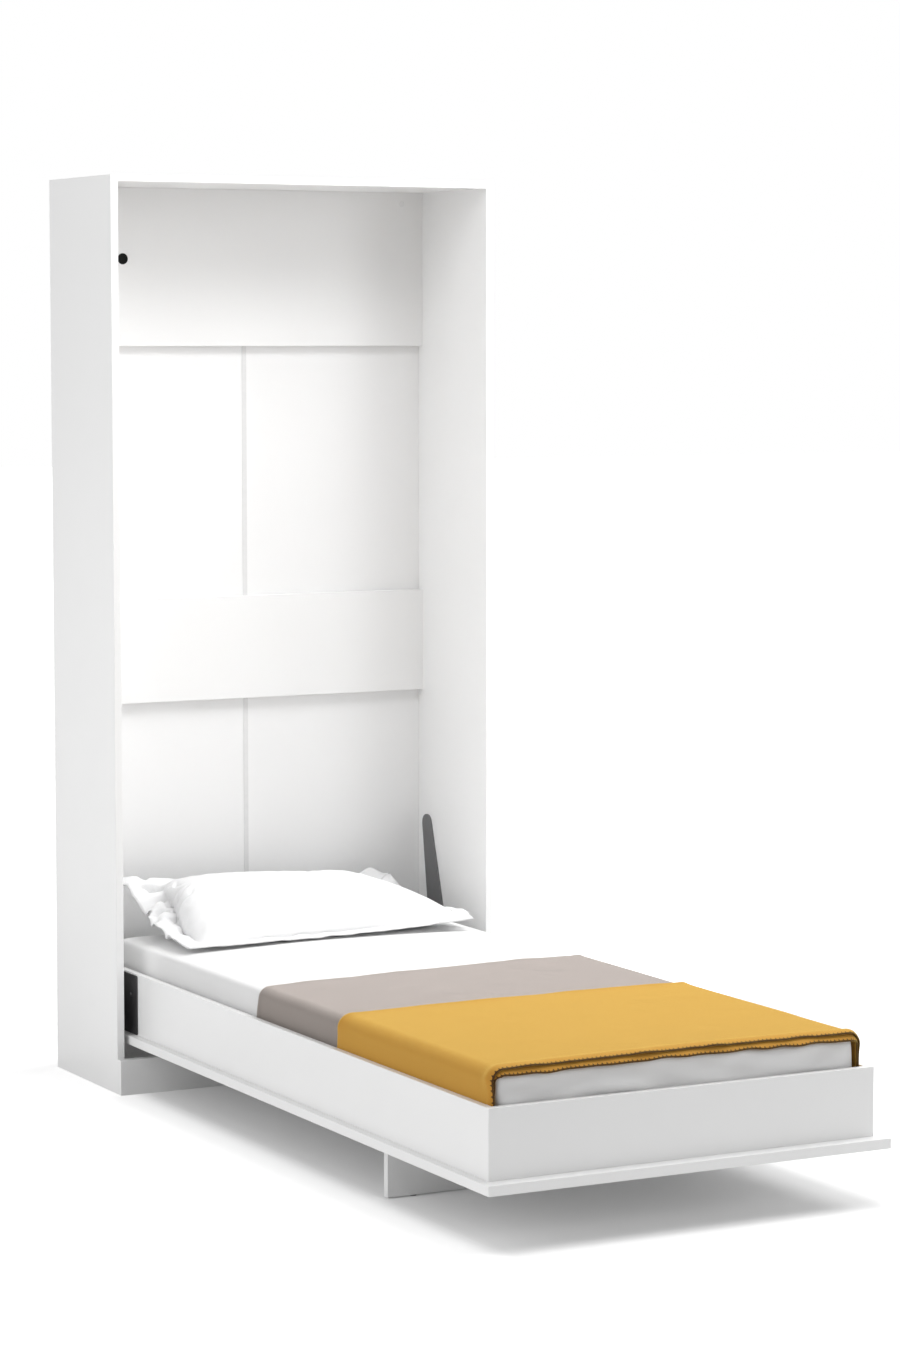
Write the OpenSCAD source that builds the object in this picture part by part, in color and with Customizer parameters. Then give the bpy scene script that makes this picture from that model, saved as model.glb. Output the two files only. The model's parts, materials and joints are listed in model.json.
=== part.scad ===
// Vertical wall bed: a tall open cabinet, and a bed that folds up into it.
// Millimetres. X is the width, with 0 at the middle. The wall is the plane Y = 0 and the
// front faces -Y, so a place is written as its distance from the wall, and Y is minus that.
// Z is up from the floor. The bed is drawn folded down, on its leg board.

/* [Cabinet] */
// Outer width of the cabinet
cabinet_w = 1050; // [1000:5:1120]
// Height of the cabinet
cabinet_h = 2250; // [2220:5:2320]
// Depth of the side panels, from the wall to their front edges
cabinet_depth = 395; // [385:5:430]
// Thickness of the side panels
side_t = 19; // [16:1:22]
// Thickness of the top panel
top_t = 16; // [16:1:22]
// Thickness of the rails behind the bed
rail_t = 22; // [16:1:22]
// Height of the upper rail
upper_rail_h = 399; // [300:1:450]
// Height of the middle rail
middle_rail_h = 265; // [150:1:300]
// Height of the middle rail's lower edge
middle_rail_z = 928; // [800:1:1000]
// Height of the lower rail, behind the head of the bed
lower_rail_h = 140; // [100:1:180]
// Thickness of the two back panels
back_t = 3; // [3:0.5:5]
// Space between the wall and the back panels
back_setback = 15; // [12:1:18]
// Depth of the grooves that hold the back panels
groove_depth = 8; // [5:1:9]
// Thickness of the plinth board
plinth_t = 22; // [16:1:22]
// Height of the plinth board
plinth_h = 87; // [70:1:90]
// Width of the strip that joins the back panels
strip_w = 12; // [10:1:20]
// Thickness of the strip's lips and web
strip_t = 1.2; // [1:0.1:1.5]
// Small bevel along the long edges of the boards
arris = 0.6; // [0.3:0.1:1]

/* [Cable hole and wall fixing] */
// Radius of the round cable hole
cable_hole_r = 12.5; // [10:0.5:20]
// Radius of the cap's flange
cap_flange_r = 14; // [13:0.5:24]
// Distance of the cable hole from the left side panel
cable_hole_inset = 161; // [100:1:250]
// Distance of the cable hole below the top panel
cable_hole_drop = 179; // [100:1:280]
// Radius of the wall fixing holes
wall_hole_r = 3.25; // [2.5:0.25:4]
// Distance of each wall fixing hole from its side panel
wall_hole_inset = 61; // [45:1:150]
// Distance of the wall fixing holes below the top panel
wall_hole_drop = 30; // [20:1:60]

/* [Bed box] */
// Thickness of the front panel that carries the bed
front_panel_t = 22; // [19:1:25]
// Height of the front panel's underside with the bed down
front_panel_z = 121; // [115:1:130]
// Gap between the front panel and each side panel
side_gap = 13.5; // [11:0.5:15]
// Gap above the front panel with the bed up
top_gap = 5; // [4:0.5:8]
// Gap between the front panel and the plinth with the bed up
plinth_gap = 4; // [3:0.5:8]
// How far the front panel sits behind the cabinet's front edges with the bed up
face_setback = 1; // [0.5:0.5:4]
// Thickness of the boards of the bed box
box_t = 16; // [14:1:16]
// Height of the boards of the bed box
box_h = 152; // [140:1:170]
// Distance from the front panel's foot edge to the bed box
foot_margin = 38; // [25:1:60]
// Distance from the front panel's head edge to the bed box
head_margin = 60; // [40:1:80]
// Space between each side panel and the bed box, for the pivot and the gas spring
spring_room = 34; // [33:0.5:40]
// Space between the mattress and each side of the box
side_room = 11; // [10:0.5:14]
// Space between the mattress and each end of the box
end_room = 4; // [2:0.5:8]

/* [Slats] */
// Number of slats
slat_count = 14; // [10:1:16]
// Width of a slat
slat_w = 70; // [50:1:90]
// Thickness of a slat
slat_t = 8; // [8:1:12]
// Height of the ledges under the slats
ledge_h = 24; // [18:1:30]
// Width of the ledges under the slats
ledge_w = 20; // [15:1:30]

/* [Mattress and bedding] */
// Thickness of the mattress at its sides
mattress_t = 186; // [160:1:190]
// Extra thickness in the middle of the mattress
mattress_crown = 4; // [0:0.5:8]
// Edge radius of the mattress
mattress_r = 28; // [20:1:40]
// Space between soft pieces that lie on each other
soft_gap = 0.3; // [0.3:0.1:1]
// Thickness of the grey throw
throw_t = 3; // [2:0.5:4]
// Distance from the foot of the mattress to the grey throw's head edge
throw_reach = 1146; // [900:2:1300]
// Distance from the foot of the mattress to the grey throw's foot edge, under the blanket
throw_short = 76; // [20:2:300]
// Thickness of one layer of the mustard blanket
blanket_layer = 3; // [2:0.25:3.5]
// Space between the two layers of the blanket at its hem
hem_gap = 1; // [0.5:0.25:2]
// Length of the open hem at the foot
hem_l = 40; // [20:5:80]
// Distance from the foot of the mattress to the blanket's folded edge
blanket_reach = 699; // [500:1:900]
// How far the throw and the blanket hang down beside the mattress
tuck_depth = 130; // [90:5:140]
// Distance from each side of the mattress to the pillow
pillow_inset = 55; // [20:1:140]
// Length of the pillow from its head edge to its foot edge
pillow_l = 430; // [380:10:450]
// Thickness of the pillow
pillow_t = 138; // [80:2:150]
// Width of the flat flange round the pillow
flange_w = 42; // [20:1:60]
// Thickness of the flange
flange_t = 5; // [4:0.5:8]
// How far the pillow reaches past the head of the mattress
pillow_over = 86; // [0:1:90]
// How far the head edge of the pillow is raised
pillow_lift = 74; // [0:2:90]

/* [Pivot] */
// Height of the pivot
pivot_z = 245; // [240:1:250]
// Diameter of the pivot pin
pin_d = 16; // [12:1:20]
// Wall of the flanged bush
bush_wall = 2; // [1.5:0.5:3]
// Radial clearance of the parts that turn or slide
running = 0.05; // [0.02:0.01:0.1]
// Thickness of the steel side plate
plate_t = 4; // [3:0.5:5]
// Thickness of the steel crank plate
crank_t = 3; // [2:0.5:4]
// Reach of the crank plate's face in front of the pivot
crank_reach = 131; // [124:1:140]
// Strip of the side rail that shows above the crank plate
crank_strip = 4; // [2:0.5:8]
// Gap between the side plate's round top and the rails
arm_gap = 4.3; // [2:0.1:15]
// Height of the middle of the side plate's round top
arm_top_z = 573; // [500:1:620]
// Radius of the side plate's round top
arm_top_r = 24.5; // [18:0.5:26]

/* [Gas spring] */
// Distance of the spring's top stud behind the pivot
spring_top_back = 158; // [150:1:164]
// Height of the spring's top stud above the pivot
spring_top_rise = 105; // [100:1:115]
// Radius of the crank, from the pivot to the spring's lower stud
crank_r = 85; // [75:1:90]
// Distance between the pivot and the spring's line with the bed up
spring_pass = 27; // [25:0.5:30]
// Outer diameter of the spring's cylinder
cylinder_d = 18; // [15:0.5:19]
// Wall of the cylinder
cylinder_wall = 1.5; // [1:0.25:2]
// Diameter of the piston rod
rod_d = 8; // [6:0.5:10]
// Diameter of the studs
stud_d = 8; // [6:0.5:10]

/* [Leg] */
// Thickness of the leg board
leg_t = 18; // [16:1:22]
// Gap between the end of the leg board and the edge of the front panel
leg_inset = 46; // [30:1:80]
// Distance from the wall to the leg board's front face
leg_front_d = 1711; // [1500:1:1900]
// Distance from the ends of the leg board to the outer glides
glide_inset = 66.5; // [20:0.5:120]
// Distance from the ends of the leg board to the outer hinges
hinge_inset = 146.5; // [60:0.5:200]
// Thickness of the glides under the leg board
glide_t = 3; // [2:0.5:5]
// Radius of the glides
glide_r = 8; // [6:0.5:9]
// Length of a leg hinge
hinge_l = 60; // [50:1:80]
// Thickness of the hinge leaves
leaf_t = 1.5; // [1:0.25:2]
// Length of the hinge leaves
leaf_l = 28; // [20:1:35]
// Radius of the hinge knuckles
knuckle_r = 3; // [2.5:0.25:4]
// Radius of the hinge pins
hinge_pin_r = 1.5; // [1:0.25:1.75]

/* [Hidden] */
$fn = 48;

// Cabinet, worked out
inner_x = cabinet_w / 2 - side_t;
under_top = cabinet_h - top_t;
back_front = back_setback + back_t;
rail_back = back_front + strip_t;
rail_front = rail_back + rail_t;
upper_rail_z = under_top - upper_rail_h;
wall_hole_x = inner_x - wall_hole_inset;
wall_hole_z = under_top - wall_hole_drop;
cable_hole_x = inner_x - cable_hole_inset;
cable_hole_z = under_top - cable_hole_drop;
fit_gap = 0.2;
cap_flange_t = 1.5;
cap_wall = 2;
cap_depth = 14;
screw_gap = 0.1;
bracket_l = 30;
bracket_t = 2;
bracket_low = 6;
bracket_h = 36;

// Dowels in the board joints
dowel_r = 4;
dowel_l = 34;
dowel_in_side = 12;
dowel_inset = 40;
top_dowel_first = 60;
top_dowel_pitch = 96;

// The fold: with the bed up, the front panel stands between the sides, above the plinth
pivot_d = cabinet_depth - face_setback - pivot_z + front_panel_z;
panel_foot = pivot_d + under_top - top_gap - pivot_z;
panel_head = pivot_d - pivot_z + plinth_h + plinth_gap;
panel_x = inner_x - side_gap;
panel_top = front_panel_z + front_panel_t;
echo(panel_foot = panel_foot, panel_head = panel_head, pivot_d = pivot_d);

// Bed box, worked out
box_out_x = inner_x - spring_room;
box_in_x = box_out_x - box_t;
box_foot = panel_foot - foot_margin;
box_foot_in = box_foot - box_t;
box_head = panel_head + head_margin;
box_head_in = box_head + box_t;
box_top = panel_top + box_h;
mattress_x = box_in_x - side_room;
mattress_foot = box_foot_in - end_room;
mattress_head = box_head_in + end_room;
slat_z = panel_top + ledge_h;
mattress_z = slat_z + slat_t + soft_gap;
mattress_top = mattress_z + mattress_t + mattress_crown;
slat_end_gap = 2;

// Bedding, worked out
throw_off = soft_gap;
blanket_off = throw_off + throw_t + soft_gap;
blanket_t = 2 * blanket_layer + hem_gap;
blanket_foot = mattress_foot + 2;
blanket_head = mattress_foot - blanket_reach;
throw_head = mattress_foot - throw_reach;
throw_foot = mattress_foot - throw_short;
tuck_z = mattress_top - tuck_depth;
pillow_z = mattress_top + soft_gap;
mattress_waist = 3;
pillow_w = 2 * (mattress_x - pillow_inset);
pillow_mid = mattress_head - pillow_over + pillow_l / 2;

// Steel parts, across the gap between the cabinet's side and the bed box
plate_x = inner_x - plate_t;
spring_clear = 2;
spring_x = plate_x - spring_clear - cylinder_d / 2;
crank_x = box_out_x + crank_t;
eye_w = 14;
stud_gap = 0.3;
bush_r = pin_d / 2 + bush_wall;
boss_wall = 7;
boss_r = bush_r + boss_wall;
boss_x = plate_x - 22;
bush_flange_t = 1.5;
bush_flange_r = bush_r + 5;
crank_boss_r = bush_r + 3;
pin_head_t = 3;
pin_head_r = 13;
pin_end_x = inner_x - 2;
clip_t = 1.2;
clip_r = 6.5;
clip_groove = 0.4;
collar_r = 7;
collar_t = 2;
bolt_r = 3;
bolt_head_r = 5.5;
bolt_head_t = 2.5;
plate_screw_r = 2.5;
plate_screw_head_r = 5;
plate_screw_l = 14;
sink = plate_screw_head_r - plate_screw_r;

// Side plate outline: middles and radii of its round corners, as [distance, height]
pivot = [pivot_d, pivot_z];
arm_top = [rail_front + arm_gap + arm_top_r, arm_top_z];
arm_foot = pivot + [-139, 55];
arm_foot_r = 46;
plate_pivot_r = 40;
plate_low = pivot + [-130, -50];
plate_low_r = 30;
plate_screws = [
    arm_top, (arm_top + arm_foot) / 2, arm_foot + [29, 0],
    plate_low - [4, 0], pivot + [-45, 23]
];

// Gas spring: its line with the bed up passes behind the pivot, and the crank stud's
// place with the bed down is that place turned back a quarter turn
to_pivot = [spring_top_back, spring_top_rise];
top_stud = pivot + [-spring_top_back, spring_top_rise];
pivot_angle = atan2(to_pivot[0], to_pivot[1]);
pass_angle = asin(spring_pass / norm(to_pivot));
up_angle = pivot_angle - pass_angle;
up_length = norm(to_pivot) * cos(pass_angle) + sqrt(pow(crank_r, 2) - pow(spring_pass, 2));
up_stud = [up_length * sin(up_angle) - to_pivot[0], to_pivot[1] - up_length * cos(up_angle)];
down_stud = [pivot_d + up_stud[1], pivot_z - up_stud[0]];
down_line = [down_stud[0] - top_stud[0], top_stud[1] - down_stud[1]];
down_angle = atan2(down_line[0], down_line[1]);
down_length = norm(down_line);
stroke = up_length - down_length;
eye_r = 9;
nose_gap = 8;
cylinder_end = down_length - eye_r - nose_gap;
nose_l = 10;
piston_start = 26;
piston_l = 10;
echo(down_angle = down_angle, up_angle = up_angle, down_length = down_length, stroke = stroke);
echo(down_stud = down_stud);

// Crank plate outline, from the pivot
crank_front = [95, -4];
crank_low = [6, -62];
crank_end_r = 20;
crank_pivot_r = 32;
crank_bolts = [crank_front, crank_low, [48, 14]];

// Leg, worked out
leg_x = panel_x - leg_inset;
leg_back_d = leg_front_d - leg_t;
hinge_d = leg_back_d - knuckle_r;
hinge_z = front_panel_z - knuckle_r;
hinge_xs = [for (k = [-1:1]) k * (leg_x - hinge_inset)];
glide_xs = [for (k = [-1:1]) k * (leg_x - glide_inset)];
knuckles = 5;
knuckle_gap = 0.2;

white = "white";
steel_grey = "dimgray";

// Helpers

// A rectangle with small bevels on its corners
module bevel_rect(w, h, c) {
    polygon([
        [c, 0], [w - c, 0], [w, c], [w, h - c],
        [w - c, h], [c, h], [0, h - c], [0, c]
    ]);
}

// A board between two widths, two distances from the wall and two heights, bevelled along
// its length, which runs along "x", "z" or "d", the distance from the wall
module board(x, d, z, along, c = arris) {
    if (along == "z")
        translate([x[0], -d[1], z[0]])
            linear_extrude(z[1] - z[0])
                bevel_rect(x[1] - x[0], d[1] - d[0], c);
    if (along == "x")
        translate([x[0], -d[1], z[0]])
            rotate([90, 0, 90])
                linear_extrude(x[1] - x[0])
                    bevel_rect(d[1] - d[0], z[1] - z[0], c);
    if (along == "d")
        translate([x[0], -d[0], z[0]])
            rotate([90, 0, 0])
                linear_extrude(d[1] - d[0])
                    bevel_rect(x[1] - x[0], z[1] - z[0], c);
}

// A plain block between two widths, two distances from the wall and two heights
module block(x, d, z) {
    translate([x[0], -d[1], z[0]])
        cube([x[1] - x[0], d[1] - d[0], z[1] - z[0]]);
}

// A round bar along the width
module bar_x(x0, x1, r, at) {
    translate([x0, -at[0], at[1]])
        rotate([0, 90, 0])
            cylinder(h = x1 - x0, r = r);
}

// A cone along the width
module cone_x(x0, x1, r0, r1, at) {
    translate([x0, -at[0], at[1]])
        rotate([0, 90, 0])
            cylinder(h = x1 - x0, r1 = r0, r2 = r1);
}

// A round bar from front to back, between two distances from the wall
module bar_d(d0, d1, r, x, z) {
    translate([x, -d0, z])
        rotate([90, 0, 0])
            cylinder(h = d1 - d0, r = r);
}

// A flat plate of the drawn outline, facing sideways. The outline's first axis is Y.
module side_sheet(x0, x1) {
    translate([x0, 0, 0])
        rotate([90, 0, 90])
            linear_extrude(x1 - x0)
                children();
}

// Two discs at [distance, height] and the straight sides between them. The sides start a
// hair inside the discs, so that they cross the rims and don't only touch them.
module taper_link(a, ra, b, rb) {
    hair = 0.02;
    pa = [-a[0], a[1]];
    pb = [-b[0], b[1]];
    line = pb - pa;
    heading = atan2(line[1], line[0]);
    spread = acos((ra - rb) / norm(line));
    up = [cos(heading + spread), sin(heading + spread)];
    down = [cos(heading - spread), sin(heading - spread)];
    translate(pa)
        circle(ra);
    translate(pb)
        circle(rb);
    polygon([
        pa + (ra - hair) * down, pb + (rb - hair) * down,
        pb + (rb - hair) * up, pa + (ra - hair) * up
    ]);
}

// Children are drawn for the right side, and s is 1 for right and -1 for left
module on_side(s) {
    if (s > 0)
        children();
    else
        mirror([1, 0, 0])
            children();
}

// Cabinet

// Places of the dowels in a side panel, as [distance, height]
function rail_dowels(z, h) =
    [for (at = [dowel_inset, h - dowel_inset]) [rail_back + rail_t / 2, z + at]];
side_dowels = concat(
    rail_dowels(upper_rail_z, upper_rail_h),
    rail_dowels(middle_rail_z, middle_rail_h),
    [for (z = [dowel_inset, lower_rail_h - dowel_inset]) [rail_t / 2, z]],
    [for (d = [top_dowel_first:top_dowel_pitch:cabinet_depth]) [d, cabinet_h - top_t / 2]]
);

// Bores for the dowels in the boards between the sides
module dowel_bores() {
    for (s = [-1, 1])
        on_side(s)
            for (p = side_dowels)
                bar_x(inner_x - dowel_l, inner_x + dowel_in_side + 1, dowel_r + running, p);
}

module side_panel() {
    difference() {
        board([inner_x, cabinet_w / 2], [0, cabinet_depth], [0, cabinet_h], "z");
        block(
            [inner_x - 1, inner_x + groove_depth],
            [back_setback - fit_gap, back_front + fit_gap],
            [lower_rail_h - fit_gap, under_top + groove_depth]
        );
        for (p = side_dowels)
            bar_x(inner_x - 1, inner_x + dowel_in_side + 1, dowel_r + running, p);
        for (p = plate_screws)
            bar_x(inner_x - 1, inner_x + plate_screw_l, plate_screw_r + screw_gap, p);
    }
}

module left_side_panel() {
    color(white)
        on_side(-1)
            side_panel();
}

module right_side_panel() {
    color(white)
        side_panel();
}

module top_panel() {
    color(white)
        difference() {
            board([-inner_x, inner_x], [0, cabinet_depth], [under_top, cabinet_h], "x");
            block(
                [-inner_x - 1, inner_x + 1],
                [back_setback - fit_gap, back_front + fit_gap],
                [under_top - 1, under_top + groove_depth]
            );
            block(
                [-strip_w / 2 - fit_gap, strip_w / 2 + fit_gap],
                [back_setback - strip_t - fit_gap, rail_back + fit_gap],
                [under_top - 1, under_top + groove_depth]
            );
            dowel_bores();
        }
}

// A rail between the sides, in front of the back panels
module back_rail(z, h) {
    difference() {
        board([-inner_x, inner_x], [rail_back, rail_front], [z, z + h], "x");
        dowel_bores();
    }
}

module upper_rail() {
    color(white)
        difference() {
            back_rail(upper_rail_z, upper_rail_h);
            bar_d(rail_back - 1, rail_front + 1, cable_hole_r, -cable_hole_x, cable_hole_z);
            for (s = [-1, 1])
                bar_d(rail_back - 1, rail_front + 1, wall_hole_r, s * wall_hole_x, wall_hole_z);
        }
}

module middle_rail() {
    color(white)
        back_rail(middle_rail_z, middle_rail_h);
}

module lower_rail() {
    color(white)
        difference() {
            block([-inner_x, inner_x], [0, rail_t], [0, lower_rail_h]);
            dowel_bores();
        }
}

module plinth() {
    color(white)
        board([-cabinet_w / 2, cabinet_w / 2], [cabinet_depth, cabinet_depth + plinth_t], [0, plinth_h], "x");
}

// Two steel angles that hold the plinth to the side panels, below the path of the front panel
module plinth_brackets() {
    bracket_z = [bracket_low, bracket_low + bracket_h];
    color("silver")
        for (s = [-1, 1])
            on_side(s) {
                block([inner_x - bracket_t, inner_x], [cabinet_depth - bracket_l, cabinet_depth], bracket_z);
                block([inner_x - bracket_l, inner_x], [cabinet_depth - bracket_t, cabinet_depth], bracket_z);
            }
}

module back_panel() {
    difference() {
        block(
            [strip_t / 2 + fit_gap, inner_x + groove_depth - fit_gap],
            [back_setback, back_front],
            [lower_rail_h, under_top + groove_depth - fit_gap]
        );
        bar_d(back_setback - 1, back_front + 1, wall_hole_r + 1, wall_hole_x, wall_hole_z);
    }
}

module back_panel_left() {
    color(white)
        on_side(-1)
            back_panel();
}

module back_panel_right() {
    color(white)
        back_panel();
}

// An H-shaped strip whose lips hold the two back panels at the middle
module back_joint_strip() {
    z = [lower_rail_h, under_top + groove_depth - fit_gap];
    color("whitesmoke") {
        block([-strip_t / 2, strip_t / 2], [back_setback - strip_t, rail_back], z);
        block([-strip_w / 2, strip_w / 2], [back_front, rail_back], z);
        block([-strip_w / 2, strip_w / 2], [back_setback - strip_t, back_setback], z);
    }
}

module cabinet_dowels() {
    color("burlywood")
        for (s = [-1, 1])
            on_side(s)
                for (p = side_dowels)
                    bar_x(inner_x + dowel_in_side - dowel_l + 1, inner_x + dowel_in_side, dowel_r, p);
}

// Black cap in the cable hole of the upper rail, with a dished face
module cable_cap() {
    spigot_r = cable_hole_r - screw_gap;
    color("black")
        translate([-cable_hole_x, -rail_front, cable_hole_z])
            rotate([90, 0, 0])
                rotate_extrude()
                    polygon([
                        [0, -0.5], [spigot_r - cap_wall, -0.5], [spigot_r - cap_wall, -cap_depth],
                        [spigot_r, -cap_depth], [spigot_r, 0], [cap_flange_r, 0],
                        [cap_flange_r - 1, cap_flange_t], [cable_hole_r - 3, cap_flange_t], [0, 0.5]
                    ]);
}

// Pivot fittings

// Steel plate screwed flat to the side panel: a long tapered arm, the pivot's boss and
// the top stud of the gas spring
module side_plate() {
    stud_tip = spring_x - eye_w / 2 - clip_t - clip_groove;
    difference() {
        union() {
            side_sheet(plate_x, inner_x) {
                taper_link(arm_top, arm_top_r, arm_foot, arm_foot_r);
                taper_link(arm_foot, arm_foot_r, pivot, plate_pivot_r);
                taper_link(arm_foot, arm_foot_r, plate_low, plate_low_r);
                taper_link(plate_low, plate_low_r, pivot, plate_pivot_r);
            }
            bar_x(boss_x, plate_x, boss_r, pivot);
            bar_x(spring_x + eye_w / 2 + stud_gap, plate_x, collar_r, top_stud);
            bar_x(stud_tip, plate_x, stud_d / 2, top_stud);
        }
        bar_x(boss_x - 1, inner_x + 1, bush_r + running, pivot);
        for (p = plate_screws) {
            bar_x(plate_x - 1, inner_x + 1, plate_screw_r + screw_gap, p);
            cone_x(plate_x - 1, plate_x + sink + screw_gap, plate_screw_head_r + screw_gap + 1, plate_screw_r, p);
        }
    }
}

module side_plate_left() {
    color(steel_grey)
        on_side(-1)
            side_plate();
}

module side_plate_right() {
    color(steel_grey)
        side_plate();
}

// Countersunk screws that hold a side plate to its side panel
module plate_screw_set() {
    for (p = plate_screws) {
        bar_x(plate_x + screw_gap, inner_x + plate_screw_l - 1, plate_screw_r, p);
        cone_x(plate_x + screw_gap, plate_x + sink, plate_screw_head_r - screw_gap, plate_screw_r, p);
    }
}

module plate_screws_left() {
    color(steel_grey)
        on_side(-1)
            plate_screw_set();
}

module plate_screws_right() {
    color(steel_grey)
        plate_screw_set();
}

// Flanged bush in the side plate's boss
module pivot_bush() {
    difference() {
        union() {
            bar_x(boss_x, inner_x - fit_gap, bush_r, pivot);
            bar_x(boss_x - bush_flange_t, boss_x, bush_flange_r, pivot);
        }
        bar_x(boss_x - bush_flange_t - 1, inner_x + 1, pin_d / 2 + running, pivot);
    }
}

module pivot_bush_left() {
    color("ivory")
        on_side(-1)
            pivot_bush();
}

module pivot_bush_right() {
    color("ivory")
        pivot_bush();
}

// Clips that keep the springs' eyes on the top studs
module spring_clips() {
    clip_x = spring_x - eye_w / 2 - clip_t - clip_groove / 2;
    color("black")
        for (s = [-1, 1])
            on_side(s)
                difference() {
                    bar_x(clip_x, clip_x + clip_t, clip_r, top_stud);
                    bar_x(clip_x - 1, clip_x + clip_t + 1, stud_d / 2 + running, top_stud);
                }
}

// Bed box

module front_panel() {
    color(white)
        board([-panel_x, panel_x], [panel_head, panel_foot], [front_panel_z, panel_top], "d");
}

// Places of the dowels that join the side rails to the end rails, as [x, z]
frame_dowel_zs = [panel_top + dowel_inset, box_top - dowel_inset];
frame_dowel_x = box_in_x + box_t / 2;
frame_dowel_d = box_foot - box_t - dowel_l + dowel_in_side;

module side_rail() {
    difference() {
        board([box_in_x, box_out_x], [box_head, box_foot_in], [panel_top, box_top], "d");
        bar_x(box_in_x - 1, box_out_x + 1, pin_d / 2 + screw_gap, pivot);
        for (b = crank_bolts)
            bar_x(box_in_x - 1, box_out_x + 1, bolt_r + screw_gap, pivot + b);
        for (z = frame_dowel_zs)
            bar_d(frame_dowel_d - 1, box_foot, dowel_r + running, frame_dowel_x, z);
        head_dowel_bores();
    }
}

// The head rail lies between the side rails, on dowels along the width
head_dowel_places = [for (z = frame_dowel_zs) [box_head + box_t / 2, z]];
module head_dowel_bores() {
    for (p = head_dowel_places)
        bar_x(box_in_x - dowel_l + dowel_in_side - 1, box_in_x + dowel_in_side, dowel_r + running, p);
}

module side_rail_left() {
    color(white)
        on_side(-1)
            side_rail();
}

module side_rail_right() {
    color(white)
        side_rail();
}

module foot_rail() {
    color(white)
        difference() {
            board([-box_out_x, box_out_x], [box_foot_in, box_foot], [panel_top, box_top], "x");
            for (s = [-1, 1])
                for (z = frame_dowel_zs)
                    bar_d(
                        frame_dowel_d, box_foot_in + dowel_in_side,
                        dowel_r + running, s * frame_dowel_x, z
                    );
        }
}

module head_rail() {
    color(white)
        difference() {
            board([-box_in_x, box_in_x], [box_head, box_head_in], [panel_top, box_top], "x");
            for (s = [-1, 1])
                on_side(s)
                    head_dowel_bores();
        }
}

module frame_dowels() {
    color("burlywood")
        for (s = [-1, 1])
            on_side(s) {
                for (z = frame_dowel_zs)
                    bar_d(frame_dowel_d, box_foot_in + dowel_in_side - 1, dowel_r, frame_dowel_x, z);
                for (p = head_dowel_places)
                    bar_x(box_in_x - dowel_l + dowel_in_side, box_in_x + dowel_in_side - 1, dowel_r, p);
            }
}

module slat_ledge() {
    board([box_in_x - ledge_w, box_in_x], [box_head_in, box_foot_in], [panel_top, slat_z], "d");
}

module slat_ledge_left() {
    color("burlywood")
        on_side(-1)
            slat_ledge();
}

module slat_ledge_right() {
    color("burlywood")
        slat_ledge();
}

// Pressed-wood slats, evenly spaced on the ledges
module slats() {
    pitch = (box_foot_in - box_head_in) / slat_count;
    half = box_in_x - slat_end_gap;
    color("wheat")
        for (i = [0:slat_count - 1])
            board(
                [-half, half],
                [for (side = [-1, 1]) box_head_in + (i + 0.5) * pitch + side * slat_w / 2],
                [slat_z, slat_z + slat_t],
                "x", 2
            );
}

// The crank plate's face covers the head end of the side rail, nearly over its full height
module crank_face() {
    front = pivot_d + crank_reach;
    rear = pivot_d - crank_pivot_r - 4;
    low = panel_top + 1;
    high = box_top - crank_strip;
    cut = 3;
    polygon([
        [-front, low + cut], [-front + cut, low], [-rear - cut, low], [-rear, low + cut],
        [-rear, high - cut], [-rear - cut, high], [-front + cut, high], [-front, high - cut]
    ]);
}

// Steel crank plate on the outside of a side rail, with the lower stud of the gas spring
module crank_plate() {
    difference() {
        union() {
            side_sheet(box_out_x, crank_x) {
                crank_face();
                taper_link(pivot, crank_pivot_r, down_stud, crank_end_r);
                taper_link(down_stud, crank_end_r, pivot + crank_low, crank_end_r);
            }
            bar_x(crank_x, boss_x - bush_flange_t - stud_gap, crank_boss_r, pivot);
            bar_x(crank_x, crank_x + collar_t, collar_r, down_stud);
            bar_x(crank_x, spring_x - eye_w / 2 - stud_gap, stud_d / 2, down_stud);
        }
        bar_x(box_out_x - 1, boss_x, pin_d / 2 + screw_gap, pivot);
        for (b = crank_bolts)
            bar_x(box_out_x - 1, crank_x + 1, bolt_r + screw_gap, pivot + b);
    }
}

module crank_plate_left() {
    color(steel_grey)
        on_side(-1)
            crank_plate();
}

module crank_plate_right() {
    color(steel_grey)
        crank_plate();
}

// Button-head bolts and flat nuts through the crank plate and the side rail
module crank_bolt_set() {
    for (b = crank_bolts) {
        bar_x(box_in_x - bolt_head_t, crank_x + 0.5, bolt_r, pivot + b);
        cone_x(crank_x, crank_x + bolt_head_t, bolt_head_r, bolt_head_r - 2, pivot + b);
        bar_x(box_in_x - bolt_head_t, box_in_x, bolt_head_r + 1, pivot + b);
    }
}

module crank_bolts_left() {
    color("silver")
        on_side(-1)
            crank_bolt_set();
}

module crank_bolts_right() {
    color("silver")
        crank_bolt_set();
}

// Pivot pin, with its flat head inside the box
module pivot_pin() {
    bar_x(box_in_x, pin_end_x, pin_d / 2, pivot);
    bar_x(box_in_x - pin_head_t, box_in_x, pin_head_r, pivot);
}

module pivot_pin_left() {
    color("silver")
        on_side(-1)
            pivot_pin();
}

module pivot_pin_right() {
    color("silver")
        pivot_pin();
}

// Gas spring, drawn down from its top stud and then turned to its line

module on_spring() {
    translate([spring_x, -top_stud[0], top_stud[1]])
        rotate([-down_angle, 0, 0])
            children();
}

// An eye across the spring, at a distance down from the top stud
module spring_eye(drop) {
    translate([-eye_w / 2, 0, -drop])
        rotate([0, 90, 0])
            cylinder(h = eye_w, r = eye_r);
}

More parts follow.
